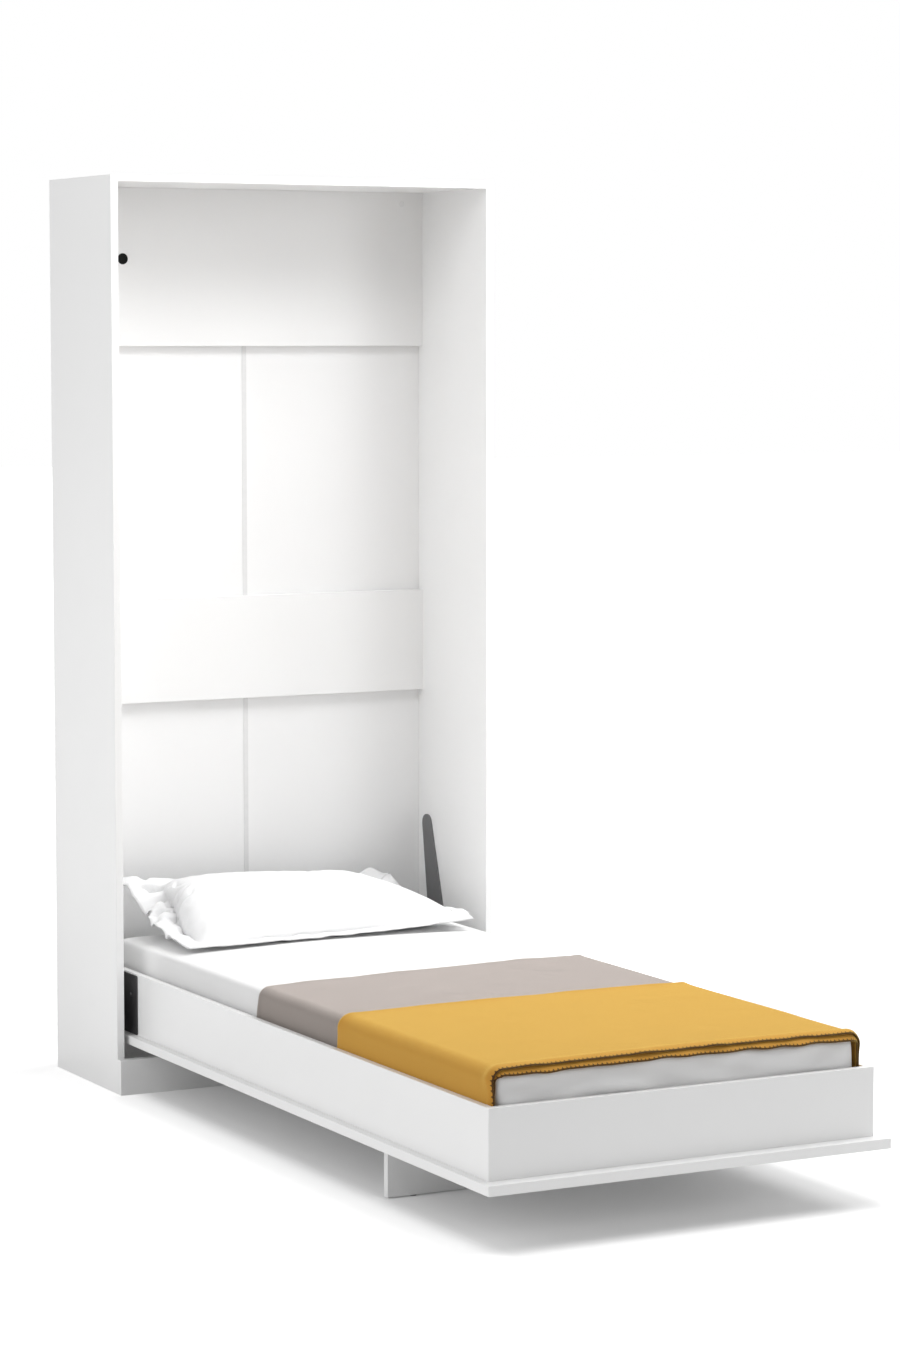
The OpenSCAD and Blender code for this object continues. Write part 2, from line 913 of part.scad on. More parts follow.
module spring_cylinder() {
    bore_r = cylinder_d / 2 - cylinder_wall;
    on_spring()
        difference() {
            union() {
                spring_eye(0);
                translate([0, 0, -cylinder_end])
                    cylinder(h = cylinder_end, r = cylinder_d / 2);
            }
            translate([-cylinder_d, 0, 0])
                rotate([0, 90, 0])
                    cylinder(h = 2 * cylinder_d, r = stud_d / 2 + running);
            translate([-cylinder_d, 0, 0])
                rotate([0, 90, 0])
                    cylinder(h = cylinder_d - eye_w / 2, r = 2 * eye_r);
            translate([eye_w / 2, 0, 0])
                rotate([0, 90, 0])
                    cylinder(h = cylinder_d, r = 2 * eye_r);
            translate([0, 0, nose_l - cylinder_end])
                cylinder(h = cylinder_end - nose_l - piston_start + 4, r = bore_r);
            translate([0, 0, -cylinder_end - 1])
                cylinder(h = nose_l + 2, r = rod_d / 2 + running);
        }
}

module spring_rod() {
    bore_r = cylinder_d / 2 - cylinder_wall;
    on_spring() {
        spring_eye(down_length);
        translate([0, 0, -down_length])
            cylinder(h = down_length - piston_start - 1, r = rod_d / 2);
        translate([0, 0, -piston_start - piston_l])
            cylinder(h = piston_l, r = bore_r - running);
    }
}

module spring_cylinder_left() {
    color("black")
        on_side(-1)
            spring_cylinder();
}

module spring_cylinder_right() {
    color("black")
        spring_cylinder();
}

module spring_rod_left() {
    color("silver")
        on_side(-1)
            spring_rod();
}

module spring_rod_right() {
    color("silver")
        spring_rod();
}

// Leg board

module leg_board() {
    color(white)
        board([-leg_x, leg_x], [leg_back_d, leg_front_d], [glide_t, front_panel_z], "x");
}

module leg_glides() {
    color("gray")
        for (x = glide_xs)
            translate([x, -(leg_back_d + leg_front_d) / 2, 0])
                cylinder(h = glide_t, r1 = glide_r - 0.8, r2 = glide_r);
}

// One hinge's knuckles: the even or the odd ones of the five
module knuckle_row(first, r) {
    pitch = hinge_l / knuckles;
    for (i = [first:2:knuckles - 1])
        bar_x(
            -hinge_l / 2 + i * pitch + knuckle_gap,
            -hinge_l / 2 + (i + 1) * pitch - knuckle_gap,
            r,
            [hinge_d, hinge_z]
        );
}

// Room for the other leaf's knuckles
module knuckle_room(first) {
    pitch = hinge_l / knuckles;
    for (i = [first:2:knuckles - 1])
        bar_x(-hinge_l / 2 + i * pitch, -hinge_l / 2 + (i + 1) * pitch, knuckle_r + 0.6, [hinge_d, hinge_z]);
}

// Leaves on the front panel's underside, with the hinge pins fixed in their knuckles
module leg_hinge_fixed_leaves() {
    color("silver")
        for (x = hinge_xs)
            translate([x, 0, 0]) {
                difference() {
                    union() {
                        block(
                            [-hinge_l / 2, hinge_l / 2],
                            [hinge_d - leaf_l, hinge_d],
                            [front_panel_z - leaf_t, front_panel_z]
                        );
                        knuckle_row(0, knuckle_r);
                    }
                    knuckle_room(1);
                }
                bar_x(-hinge_l / 2 + knuckle_gap, hinge_l / 2 - knuckle_gap, hinge_pin_r, [hinge_d, hinge_z]);
            }
}

// Leaves on the leg board's back face, whose knuckles turn on the pins
module leg_hinge_moving_leaves() {
    color("silver")
        for (x = hinge_xs)
            translate([x, 0, 0])
                difference() {
                    union() {
                        block(
                            [-hinge_l / 2, hinge_l / 2],
                            [leg_back_d - leaf_t, leg_back_d],
                            [hinge_z - leaf_l, hinge_z]
                        );
                        knuckle_row(1, knuckle_r);
                    }
                    knuckle_room(0);
                    bar_x(-hinge_l / 2 - 1, hinge_l / 2 + 1, hinge_pin_r + running, [hinge_d, hinge_z]);
                }
}

// Mattress and bedding

arc_steps = 5;
top_steps = 6;
quarter = [for (i = [0:arc_steps]) 90 * i / arc_steps];

// The crowned top of a mattress a wide each way, with corner radius r, from its right
// side to its left side, as [x, z]
function crowned_top(a, r, z) =
    let (
        corner = [for (t = quarter) [a - r + r * cos(t), z - r + r * sin(t)]],
        middle = [for (i = [1:top_steps - 1]) [(a - r) * (1 - 2 * i / top_steps), z]],
        flat = concat(corner, middle, [for (i = [arc_steps:-1:0]) [-corner[i][0], corner[i][1]]])
    )
    [for (p = flat) [p[0], p[1] + mattress_crown * (1 - pow(p[0] / a, 2))]];

// That top moved out by off, for a layer of cloth
function over_top(off) = crowned_top(mattress_x + off, mattress_r + off, mattress_z + mattress_t + off);

// One ring of the mattress, drawn in by inset near the ends. The sides are a little
// hollow at half height.
function mattress_ring(d, inset) =
    let (
        a = mattress_x - inset,
        r = max(mattress_r - inset, 1),
        low = mattress_z + inset,
        high = mattress_z + mattress_t - inset,
        waist_x = a - mattress_waist * (1 - inset / mattress_r),
        corner = [for (t = quarter) [a - r + r * sin(t), low + r - r * cos(t)]],
        outline = concat(
            crowned_top(a, r, high),
            [[-waist_x, (low + high) / 2]],
            [for (i = [arc_steps:-1:0]) [-corner[i][0], corner[i][1]]],
            corner,
            [[waist_x, (low + high) / 2]]
        )
    )
    [for (p = outline) [p[0], -d, p[1]]];

// A closed skin over a list of equal rings, with a fan on each end
module skin(rings) {
    n = len(rings[0]);
    m = len(rings);
    middle_first = [for (k = [0:2]) [for (p = rings[0]) p[k]] * [for (p = rings[0]) 1 / n]];
    middle_last = [for (k = [0:2]) [for (p = rings[m - 1]) p[k]] * [for (p = rings[0]) 1 / n]];
    points = concat([for (ring = rings) each ring], [middle_first, middle_last]);
    sides = [for (j = [0:m - 2]) for (i = [0:n - 1]) each [
        [j * n + i, j * n + (i + 1) % n, (j + 1) * n + i],
        [j * n + (i + 1) % n, (j + 1) * n + (i + 1) % n, (j + 1) * n + i]
    ]];
    ends = [for (i = [0:n - 1]) each [
        [m * n, (i + 1) % n, i],
        [m * n + 1, (m - 1) * n + i, (m - 1) * n + (i + 1) % n]
    ]];
    polyhedron(points = points, faces = concat(sides, ends), convexity = 6);
}

module mattress() {
    ends = [for (t = quarter) [mattress_r * (1 - sin(t)), mattress_r * (1 - cos(t))]];
    color("white")
        skin(concat(
            [for (e = ends) mattress_ring(mattress_head + e[1], e[0])],
            [for (i = [arc_steps:-1:0]) mattress_ring(mattress_foot - ends[i][1], ends[i][0])]
        ));
}

// A layer of cloth over the mattress and down its sides, between two offsets from it
module cloth_layer(off0, off1, d0, d1) {
    outer = over_top(off1);
    inner = over_top(off0);
    outline = concat(
        [[mattress_x + off0, tuck_z], [mattress_x + off1, tuck_z]],
        outer,
        [[-mattress_x - off1, tuck_z], [-mattress_x - off0, tuck_z]],
        [for (i = [len(inner) - 1:-1:0]) inner[i]]
    );
    translate([0, -d0, 0])
        rotate([90, 0, 0])
            linear_extrude(d1 - d0)
                polygon(outline);
}

module grey_throw() {
    color("rosybrown")
        cloth_layer(throw_off, throw_off + throw_t, throw_head, throw_foot);
}

// Folded double, with the two layers apart at the open hem
module mustard_blanket() {
    color("goldenrod") {
        cloth_layer(blanket_off, blanket_off + blanket_t, blanket_head, blanket_foot - hem_l);
        for (off = [blanket_off, blanket_off + blanket_layer + hem_gap])
            cloth_layer(off, off + blanket_layer, blanket_foot - hem_l, blanket_foot);
    }
}

// Pillow: a crowned body in a case with a flat wavy flange. Its outline is drawn in between
// the corners, the head edge is raised, and it is flat only where it lies on the mattress.
pillow_sides = 40;
pillow_rings = 11;

// Plan radius in the direction t, as a share of the half sizes
function pillow_edge(t) =
    let (c = abs(cos(t)), s = abs(sin(t)), square = 1 / pow(pow(c, 5) + pow(s, 5), 1 / 5))
    square * (1 - 0.055 * pow(cos(2 * t), 2));

// Half thickness at the share s of the plan radius
function pillow_half(s) =
    let (body = 1 - 2 * flange_w / pillow_l, u = min(s / body, 1))
    flange_t / 2 + (pillow_t - flange_t) / 2 * pow(1 - pow(u, 2.6), 0.62);

// Height of the seam above the mattress: low at the foot edge, raised at the head edge
function pillow_seam(s, t) =
    let (head = (1 + sin(t)) / 2, wave = 4 * pow(s, 6) * sin(9 * t + 20))
    flange_t / 2 + 1 + wave + 5 * pow(s, 6)
    + (pillow_t / 2 - flange_t) * (1 - pow(s, 4)) + pillow_lift * pow(head, 1.5) * pow(s, 4);

function pillow_point(s, t, side) =
    let (
        seam = pillow_seam(s, t),
        half = pillow_half(s),
        z = seam + side * half,
        floor_z = side < 0 ? 0 : flange_t
    )
    [
        pillow_w / 2 * s * pillow_edge(t) * cos(t),
        -pillow_mid + pillow_l / 2 * s * pillow_edge(t) * sin(t),
        pillow_z + max(z, floor_z)
    ];

module pillow() {
    shares = [for (k = [1:pillow_rings]) sin(90 * k / pillow_rings)];
    angles = [for (i = [0:pillow_sides - 1]) 360 * i / pillow_sides];
    below = [for (s = shares) [for (t = angles) pillow_point(s, t, -1)]];
    above = [for (k = [pillow_rings - 1:-1:0]) [for (t = angles) pillow_point(shares[k], t, 1)]];
    color("white")
        skin(concat(below, above));
}

// Assembly
left_side_panel();
right_side_panel();
top_panel();
upper_rail();
middle_rail();
lower_rail();
plinth();
plinth_brackets();
back_panel_left();
back_panel_right();
back_joint_strip();
cabinet_dowels();
cable_cap();
side_plate_left();
side_plate_right();
plate_screws_left();
plate_screws_right();
pivot_bush_left();
pivot_bush_right();
spring_clips();
front_panel();
side_rail_left();
side_rail_right();
foot_rail();
head_rail();
frame_dowels();
slat_ledge_left();
slat_ledge_right();
slats();
crank_plate_left();
crank_plate_right();
crank_bolts_left();
crank_bolts_right();
pivot_pin_left();
pivot_pin_right();
leg_hinge_fixed_leaves();
mattress();
grey_throw();
mustard_blanket();
pillow();
leg_board();
leg_hinge_moving_leaves();
leg_glides();
spring_cylinder_left();
spring_cylinder_right();
spring_rod_left();
spring_rod_right();
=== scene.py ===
"""Dresses the wall bed: board, steel and cloth finishes, mattress, pillow, throw and blanket,
caps over the wall screws, and a plain pale studio. Everything is in metres, in the frame's
place."""

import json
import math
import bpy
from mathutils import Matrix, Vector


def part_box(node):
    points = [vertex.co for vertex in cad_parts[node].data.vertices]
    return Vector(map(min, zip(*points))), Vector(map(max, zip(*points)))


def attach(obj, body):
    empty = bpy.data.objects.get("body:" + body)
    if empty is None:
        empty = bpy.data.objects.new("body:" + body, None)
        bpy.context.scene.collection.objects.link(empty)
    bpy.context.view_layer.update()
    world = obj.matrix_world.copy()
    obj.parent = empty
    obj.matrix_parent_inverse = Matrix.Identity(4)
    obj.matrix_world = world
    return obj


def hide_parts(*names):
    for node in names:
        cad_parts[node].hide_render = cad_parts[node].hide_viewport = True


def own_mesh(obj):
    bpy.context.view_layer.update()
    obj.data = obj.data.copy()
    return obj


bl_info = {
    "name": "Wall Bed",
    "version": (1, 0, 0),
    "blender": (4, 5, 0),
    "location": "View3D > Sidebar > Wall Bed",
    "description": "Finishes, mattress, bedding, screw caps and a plain studio for a wall bed",
    "category": "Object",
}

import bmesh
import bpy
import numpy as np
from bpy.props import FloatProperty, FloatVectorProperty, PointerProperty
from bpy.types import Operator, Panel, PropertyGroup

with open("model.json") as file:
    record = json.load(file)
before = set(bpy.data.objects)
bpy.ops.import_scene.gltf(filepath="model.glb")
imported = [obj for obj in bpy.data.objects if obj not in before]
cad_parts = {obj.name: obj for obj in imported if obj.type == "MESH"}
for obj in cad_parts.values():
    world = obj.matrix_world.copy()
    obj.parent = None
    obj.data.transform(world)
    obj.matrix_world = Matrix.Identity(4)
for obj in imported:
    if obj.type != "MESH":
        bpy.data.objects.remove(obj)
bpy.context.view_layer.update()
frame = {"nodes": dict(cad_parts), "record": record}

MM = 0.001

# Places taken from the frame
MATTRESS_LOW, MATTRESS_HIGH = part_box("mattress")
THROW_LOW, THROW_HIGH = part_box("grey_throw")
BLANKET_LOW, BLANKET_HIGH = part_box("mustard_blanket")
PILLOW_LOW, PILLOW_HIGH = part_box("pillow")
RAIL_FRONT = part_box("upper_rail")[0].y
MATTRESS_FOOT = -MATTRESS_LOW.y
MATTRESS_HEAD = -MATTRESS_HIGH.y
MATTRESS_HALF = MATTRESS_HIGH.x
MATTRESS_TOP = MATTRESS_HIGH.z


# Sizes and colours that a user would change

LENGTH = {"subtype": "DISTANCE", "unit": "LENGTH"}
COLOUR = {"min": 0.0, "max": 1.0, "subtype": "COLOR"}


class WallBedSizes(PropertyGroup):
    """Sizes of the soft pieces and of the screw caps."""

    mattress_radius: FloatProperty(
        name="Mattress edge radius",
        description="Radius of the mattress's long edges",
        default=0.020, min=0.015, max=0.04, **LENGTH)
    mattress_crown: FloatProperty(
        name="Mattress crown",
        description="How much higher the mattress is in its middle than at its sides",
        default=0.004, min=0.0, max=0.008, **LENGTH)
    sheet_wrinkle: FloatProperty(
        name="Sheet wrinkle",
        description="Height of the soft wrinkles in the fitted sheet on the mattress's sides",
        default=0.0028, min=0.0, max=0.005, **LENGTH)
    throw_thickness: FloatProperty(
        name="Throw thickness",
        description="Thickness of the taupe throw",
        default=0.0026, min=0.001, max=0.003, **LENGTH)
    throw_skew: FloatProperty(
        name="Throw skew",
        description="How much nearer to the head the throw lies on its right than on its left",
        default=0.049, min=0.0, max=0.08, **LENGTH)
    blanket_thickness: FloatProperty(
        name="Blanket thickness",
        description="Thickness of one layer of the blanket",
        default=0.0026, min=0.001, max=0.003, **LENGTH)
    blanket_hem: FloatProperty(
        name="Blanket hem",
        description="Thickness of the rolled hem at the blanket's foot edges",
        default=0.0062, min=0.003, max=0.009, **LENGTH)
    pillow_width: FloatProperty(
        name="Pillow width",
        description="Width of the pillow with its flange",
        default=0.800, min=0.6, max=0.86, **LENGTH)
    pillow_depth: FloatProperty(
        name="Pillow depth",
        description="Depth of the pillow with its flange, from its head edge to its foot edge",
        default=0.440, min=0.35, max=0.5, **LENGTH)
    pillow_height: FloatProperty(
        name="Pillow height",
        description="Height of the pillow's crown above the mattress",
        default=0.143, min=0.08, max=0.16, **LENGTH)
    flange_width: FloatProperty(
        name="Flange width",
        description="Width of the flat flange round the pillow",
        default=0.045, min=0.02, max=0.07, **LENGTH)
    cap_radius: FloatProperty(
        name="Screw cap radius",
        description="Radius of the white caps over the wall screws",
        default=0.0075, min=0.005, max=0.012, **LENGTH)


class WallBedColours(PropertyGroup):
    """Colours of the finishes, as linear values."""

    board: FloatVectorProperty(
        name="Board",
        description="White melamine face of the boards",
        default=(0.86, 0.86, 0.858), **COLOUR)
    back_board: FloatVectorProperty(
        name="Back board",
        description="White face of the thin back panels",
        default=(0.87, 0.87, 0.87), **COLOUR)
    bare_wood: FloatVectorProperty(
        name="Bare wood",
        description="Slats, ledges and dowels",
        default=(0.62, 0.44, 0.27), **COLOUR)
    dark_steel: FloatVectorProperty(
        name="Dark steel",
        description="Paint of the side plates, their screws and the gas springs",
        default=(0.145, 0.145, 0.148), **COLOUR)
    sheet: FloatVectorProperty(
        name="Sheet",
        description="White fitted sheet on the mattress",
        default=(0.815, 0.814, 0.813), **COLOUR)
    pillow: FloatVectorProperty(
        name="Pillow",
        description="White cotton of the pillow case",
        default=(0.78, 0.78, 0.785), **COLOUR)
    throw: FloatVectorProperty(
        name="Throw",
        description="Taupe weave of the throw",
        default=(0.205, 0.178, 0.160), **COLOUR)
    blanket: FloatVectorProperty(
        name="Blanket",
        description="Mustard weave of the blanket",
        default=(0.52, 0.240, 0.033), **COLOUR)


# Curves and grids


def ripple(x, y, wavelength, seed, stretch=1.0):
    """Smooth noise of about -1 to 1: a sum of plane waves near one wavelength, whose directions
    and phases are seeded. A stretch above 1 makes the noise longer along x than along y."""
    waves = 16
    rng = np.random.default_rng(seed)
    angle = rng.uniform(0, math.tau, waves)
    phase = rng.uniform(0, math.tau, waves)
    number = math.tau / (wavelength * rng.uniform(0.65, 1.5, waves))
    kx = number * np.cos(angle) / stretch
    ky = number * np.sin(angle)
    total = np.sin(x[..., None] * kx + y[..., None] * ky + phase).sum(-1)
    return total / math.sqrt(waves)


def ripple_along(x, wavelength, seed):
    """The same noise along one axis only."""
    return ripple(x, 0 * x, wavelength, seed)


def ease(value, low, high):
    """Smooth step: 0 below low, 1 above high, and 3t^2 - 2t^3 between them."""
    t = np.clip((value - low) / (high - low), 0.0, 1.0)
    return t * t * (3.0 - 2.0 * t)


def over_edge(across, before, after):
    """A smooth step over the mattress's long edges: 0 up to a length before the side, and 1 from
    a length past it."""
    return ease(np.abs(across), MATTRESS_HALF - before, MATTRESS_HALF + after)


def bell(value, width):
    """exp(-(value / width)^2): 1 where the value is 0, and near 0 past two widths."""
    return np.exp(-(value / width) ** 2)


def softened(grid, rounds):
    """The grid after a number of rounds of averaging each point with its neighbours."""
    for _ in range(rounds):
        wide = np.pad(grid, 1, mode="edge")
        beside = wide[:-2, 1:-1] + wide[2:, 1:-1] + wide[1:-1, :-2] + wide[1:-1, 2:]
        grid = (2 * grid + beside) / 6
    return grid


def finer(grid):
    """The grid with a new point half way between each two neighbours, down and across."""
    for axis in (0, 1):
        grid = np.moveaxis(grid, axis, 0)
        both = np.repeat(grid, 2, axis=0)[:-1]
        both[1::2] = (grid[1:] + grid[:-1]) / 2
        grid = np.moveaxis(both, 0, axis)
    return grid


def smooth_curve(share, at, values):
    """A cubic Hermite curve through the values, with each slope taken from the neighbours."""
    at, values = np.array(at, float), np.array(values, float)
    slopes = np.gradient(values, at)
    left = np.clip(np.searchsorted(at, share, side="right") - 1, 0, len(at) - 2)
    step = at[left + 1] - at[left]
    t = np.clip((share - at[left]) / step, 0, 1)
    start = (2 * t ** 3 - 3 * t ** 2 + 1) * values[left]
    leaving = (t ** 3 - 2 * t ** 2 + t) * step * slopes[left]
    end = (3 * t ** 2 - 2 * t ** 3) * values[left + 1]
    arriving = (t ** 3 - t ** 2) * step * slopes[left + 1]
    return start + leaving + end + arriving


def edge_patch(u, v, foot, head, left, right):
    """A Coons patch: (1-v) foot + v head + (1-u) left + u right, less the bilinear blend of the
    four corner heights."""
    across = (1 - v) * smooth_curve(u, *foot) + v * smooth_curve(u, *head)
    along = (1 - u) * smooth_curve(v, *left) + u * smooth_curve(v, *right)
    near, far = foot[1], head[1]
    blend = (1 - v) * ((1 - u) * near[0] + u * near[-1]) + v * ((1 - u) * far[0] + u * far[-1])
    return across + along - blend


def grid_quads(rows, columns, wrap=False):
    """Quads between neighbouring rows and columns of a grid of vertices."""
    last = columns if wrap else columns - 1
    i, j = np.meshgrid(np.arange(rows - 1), np.arange(last), indexing="ij")
    k = (j + 1) % columns
    row = i * columns
    return np.stack([row + j, row + k, row + columns + k, row + columns + j], -1).reshape(-1, 4)


def normals_of(points):
    """Unit normals of a grid of points: the cross product of its two finite differences."""
    down = np.gradient(points, axis=0)
    across = np.gradient(points, axis=1)
    normal = np.cross(across, down)
    return normal / np.maximum(np.linalg.norm(normal, axis=-1, keepdims=True), 1e-12)


def with_round_rim(points, thickness, uv):
    """Adds two rows or columns past each edge of a sheet's middle surface. They step out along
    the surface by half the thickness times a sine, while the thickness falls with the cosine, so
    that the sheet's cut edge comes out half round."""
    turns = [math.radians(50), math.radians(86)]
    for axis in (0, 1):
        for way in (-1, 1):
            points, thickness, uv = (
                np.moveaxis(grid, axis, 0)[::way] for grid in (points, thickness, uv))
            edge = points[-1]
            step = edge - points[-2]
            step = step / np.linalg.norm(step, axis=-1, keepdims=True)
            half = thickness[-1][..., None] / 2
            added = (
                [edge + step * half * math.sin(turn) for turn in turns],
                [thickness[-1] * math.cos(turn) for turn in turns],
                [uv[-1]] * len(turns),
            )
            points, thickness, uv = (
                np.moveaxis(np.concatenate([grid, rows])[::way], 0, axis)
                for grid, rows in zip((points, thickness, uv), added))
    return points, thickness, uv


# Meshes


def make_piece(name, points, quads, uv=None, smooth=True):
    """A mesh object at the origin, from an array of points, an array of quads (a quad whose last
    two corners are equal is a triangle) and a UV pair in metres for each point."""
    points = np.asarray(points, float).reshape(-1, 3)
    quads = np.asarray(quads, int)
    sizes = np.where(quads[:, 2] == quads[:, 3], 3, 4)
    corners = quads[np.arange(4)[None, :] < sizes[:, None]]
    mesh = bpy.data.meshes.new(name)
    mesh.vertices.add(len(points))
    mesh.vertices.foreach_set("co", points.ravel())
    mesh.loops.add(len(corners))
    mesh.loops.foreach_set("vertex_index", corners)
    mesh.polygons.add(len(quads))
    mesh.polygons.foreach_set("loop_start", np.concatenate([[0], np.cumsum(sizes)[:-1]]))
    mesh.update(calc_edges=True)
    mesh.validate()
    if uv is not None:
        layer = mesh.uv_layers.new(name="UVMap")
        layer.data.foreach_set("uv", np.asarray(uv, float).reshape(-1, 2)[corners].ravel())
    mesh.polygons.foreach_set("use_smooth", np.full(len(mesh.polygons), smooth))
    piece = bpy.data.objects.new(name, mesh)
    bpy.context.scene.collection.objects.link(piece)
    return piece


def points_of(piece):
    """The piece's vertices as an array, with its modifiers' result if it has any."""
    evaluated = piece.evaluated_get(bpy.context.evaluated_depsgraph_get())
    points = np.empty(len(evaluated.data.vertices) * 3)
    evaluated.data.vertices.foreach_get("co", points)
    return points.reshape(-1, 3)


def recalculate(piece):
    """Turns all the faces of a closed piece outwards."""
    work = bmesh.new()
    work.from_mesh(piece.data)
    bmesh.ops.recalc_face_normals(work, faces=work.faces)
    work.to_mesh(piece.data)
    work.free()


def two_layers(name, front, back, uv, turned_over=False):
    """Two grids of points as one closed piece, with a strip of quads that joins them round the
    rim."""
    rows, columns = front.shape[:2]
    count = rows * columns
    index = np.arange(count).reshape(rows, columns)
    rim = np.concatenate([index[0, :-1], index[:-1, -1], index[-1, :0:-1], index[:0:-1, 0]])
    ahead = np.roll(rim, -1)
    strip = np.stack([rim, rim + count, ahead + count, ahead], -1)
    face = grid_quads(rows, columns)
    quads = np.concatenate([face, (face + count)[:, ::-1], strip])
    points = np.concatenate([front.reshape(-1, 3), back.reshape(-1, 3)])
    both_uv = np.concatenate([uv.reshape(-1, 2)] * 2)
    return make_piece(name, points, quads[:, ::-1] if turned_over else quads, both_uv)


def cloth_shell(name, points, thickness, uv):
    """A closed sheet of cloth round a grid of middle points: the grid moved out and in by half
    the thickness along its normals."""
    points, thickness, uv = with_round_rim(points, thickness, uv)
    offset = normals_of(points) * (thickness[..., None] / 2)
    return two_layers(name, points + offset, points - offset, uv, turned_over=True)


def closed_tube(name, rings, ends):
    """A tube of rings of points, closed at each end by a fan of triangles round an end point."""
    rows, columns = rings.shape[:2]
    here = np.arange(columns)
    there = (here + 1) % columns
    centre = np.full(columns, rows * columns)
    tail = (rows - 1) * columns
    fans = [np.stack([centre, there, here, here], -1),
            np.stack([centre + 1, tail + here, tail + there, tail + there], -1)]
    quads = np.concatenate([grid_quads(rows, columns, wrap=True), *fans])
    piece = make_piece(name, np.concatenate([rings.reshape(-1, 3), ends]), quads)
    recalculate(piece)
    return piece


def turned(name, profile, centre, axis):
    """A solid of revolution: a profile of (radius, height) pairs turned about an axis through a
    centre. The profile starts and ends on the axis."""
    segments = 40
    profile = np.asarray(profile, float)
    axis = np.asarray(axis, float)
    centre = np.asarray(centre, float)
    side = np.cross(axis, [0.0, 0.0, 1.0] if abs(axis[2]) < 0.9 else [1.0, 0.0, 0.0])
    side = side / np.linalg.norm(side)
    other = np.cross(axis, side)
    angle = np.linspace(0, math.tau, segments, endpoint=False)
    ring = np.cos(angle)[:, None] * side + np.sin(angle)[:, None] * other
    radius, height = profile[1:-1].T
    body = radius[:, None, None] * ring[None] + height[:, None, None] * axis
    ends = profile[[0, -1], 1:] * axis
    return closed_tube(name, body + centre, ends + centre)


def joined(name, pieces):
    """Several small pieces as one object."""
    bpy.ops.object.select_all(action="DESELECT")
    for piece in pieces:
        piece.select_set(True)
    bpy.context.view_layer.objects.active = pieces[0]
    bpy.ops.object.join()
    pieces[0].name = name
    pieces[0].data.name = name
    return pieces[0]


def simulated(piece, frames, pressure, stiffness, bending, group="", volume=0.0, pin=""):
    """The piece's points after Cloth has inflated it for a number of frames, with no gravity.
    group names the vertices that the pressure acts on, and pin those that are held."""
    scene = bpy.context.scene
    cloth = piece.modifiers.new("Inflate", "CLOTH")
    settings = cloth.settings
    settings.quality = 6
    settings.mass = 0.2
    settings.tension_stiffness = stiffness
    settings.compression_stiffness = stiffness
    settings.shear_stiffness = stiffness / 3
    settings.bending_stiffness = bending
    settings.air_damping = 2.0
    settings.use_pressure = True
    settings.uniform_pressure_force = pressure
    settings.effector_weights.gravity = 0.0
    settings.vertex_group_pressure = group
    settings.vertex_group_mass = pin
    if volume:
        settings.use_pressure_volume = True
        settings.target_volume = volume
    cloth.collision_settings.use_collision = False
    cloth.point_cache.frame_start = 1
    cloth.point_cache.frame_end = frames
    for number in range(1, frames + 1):
        scene.frame_set(number)
    points = points_of(piece)
    piece.modifiers.remove(cloth)
    scene.frame_set(1)
    return points


# Materials


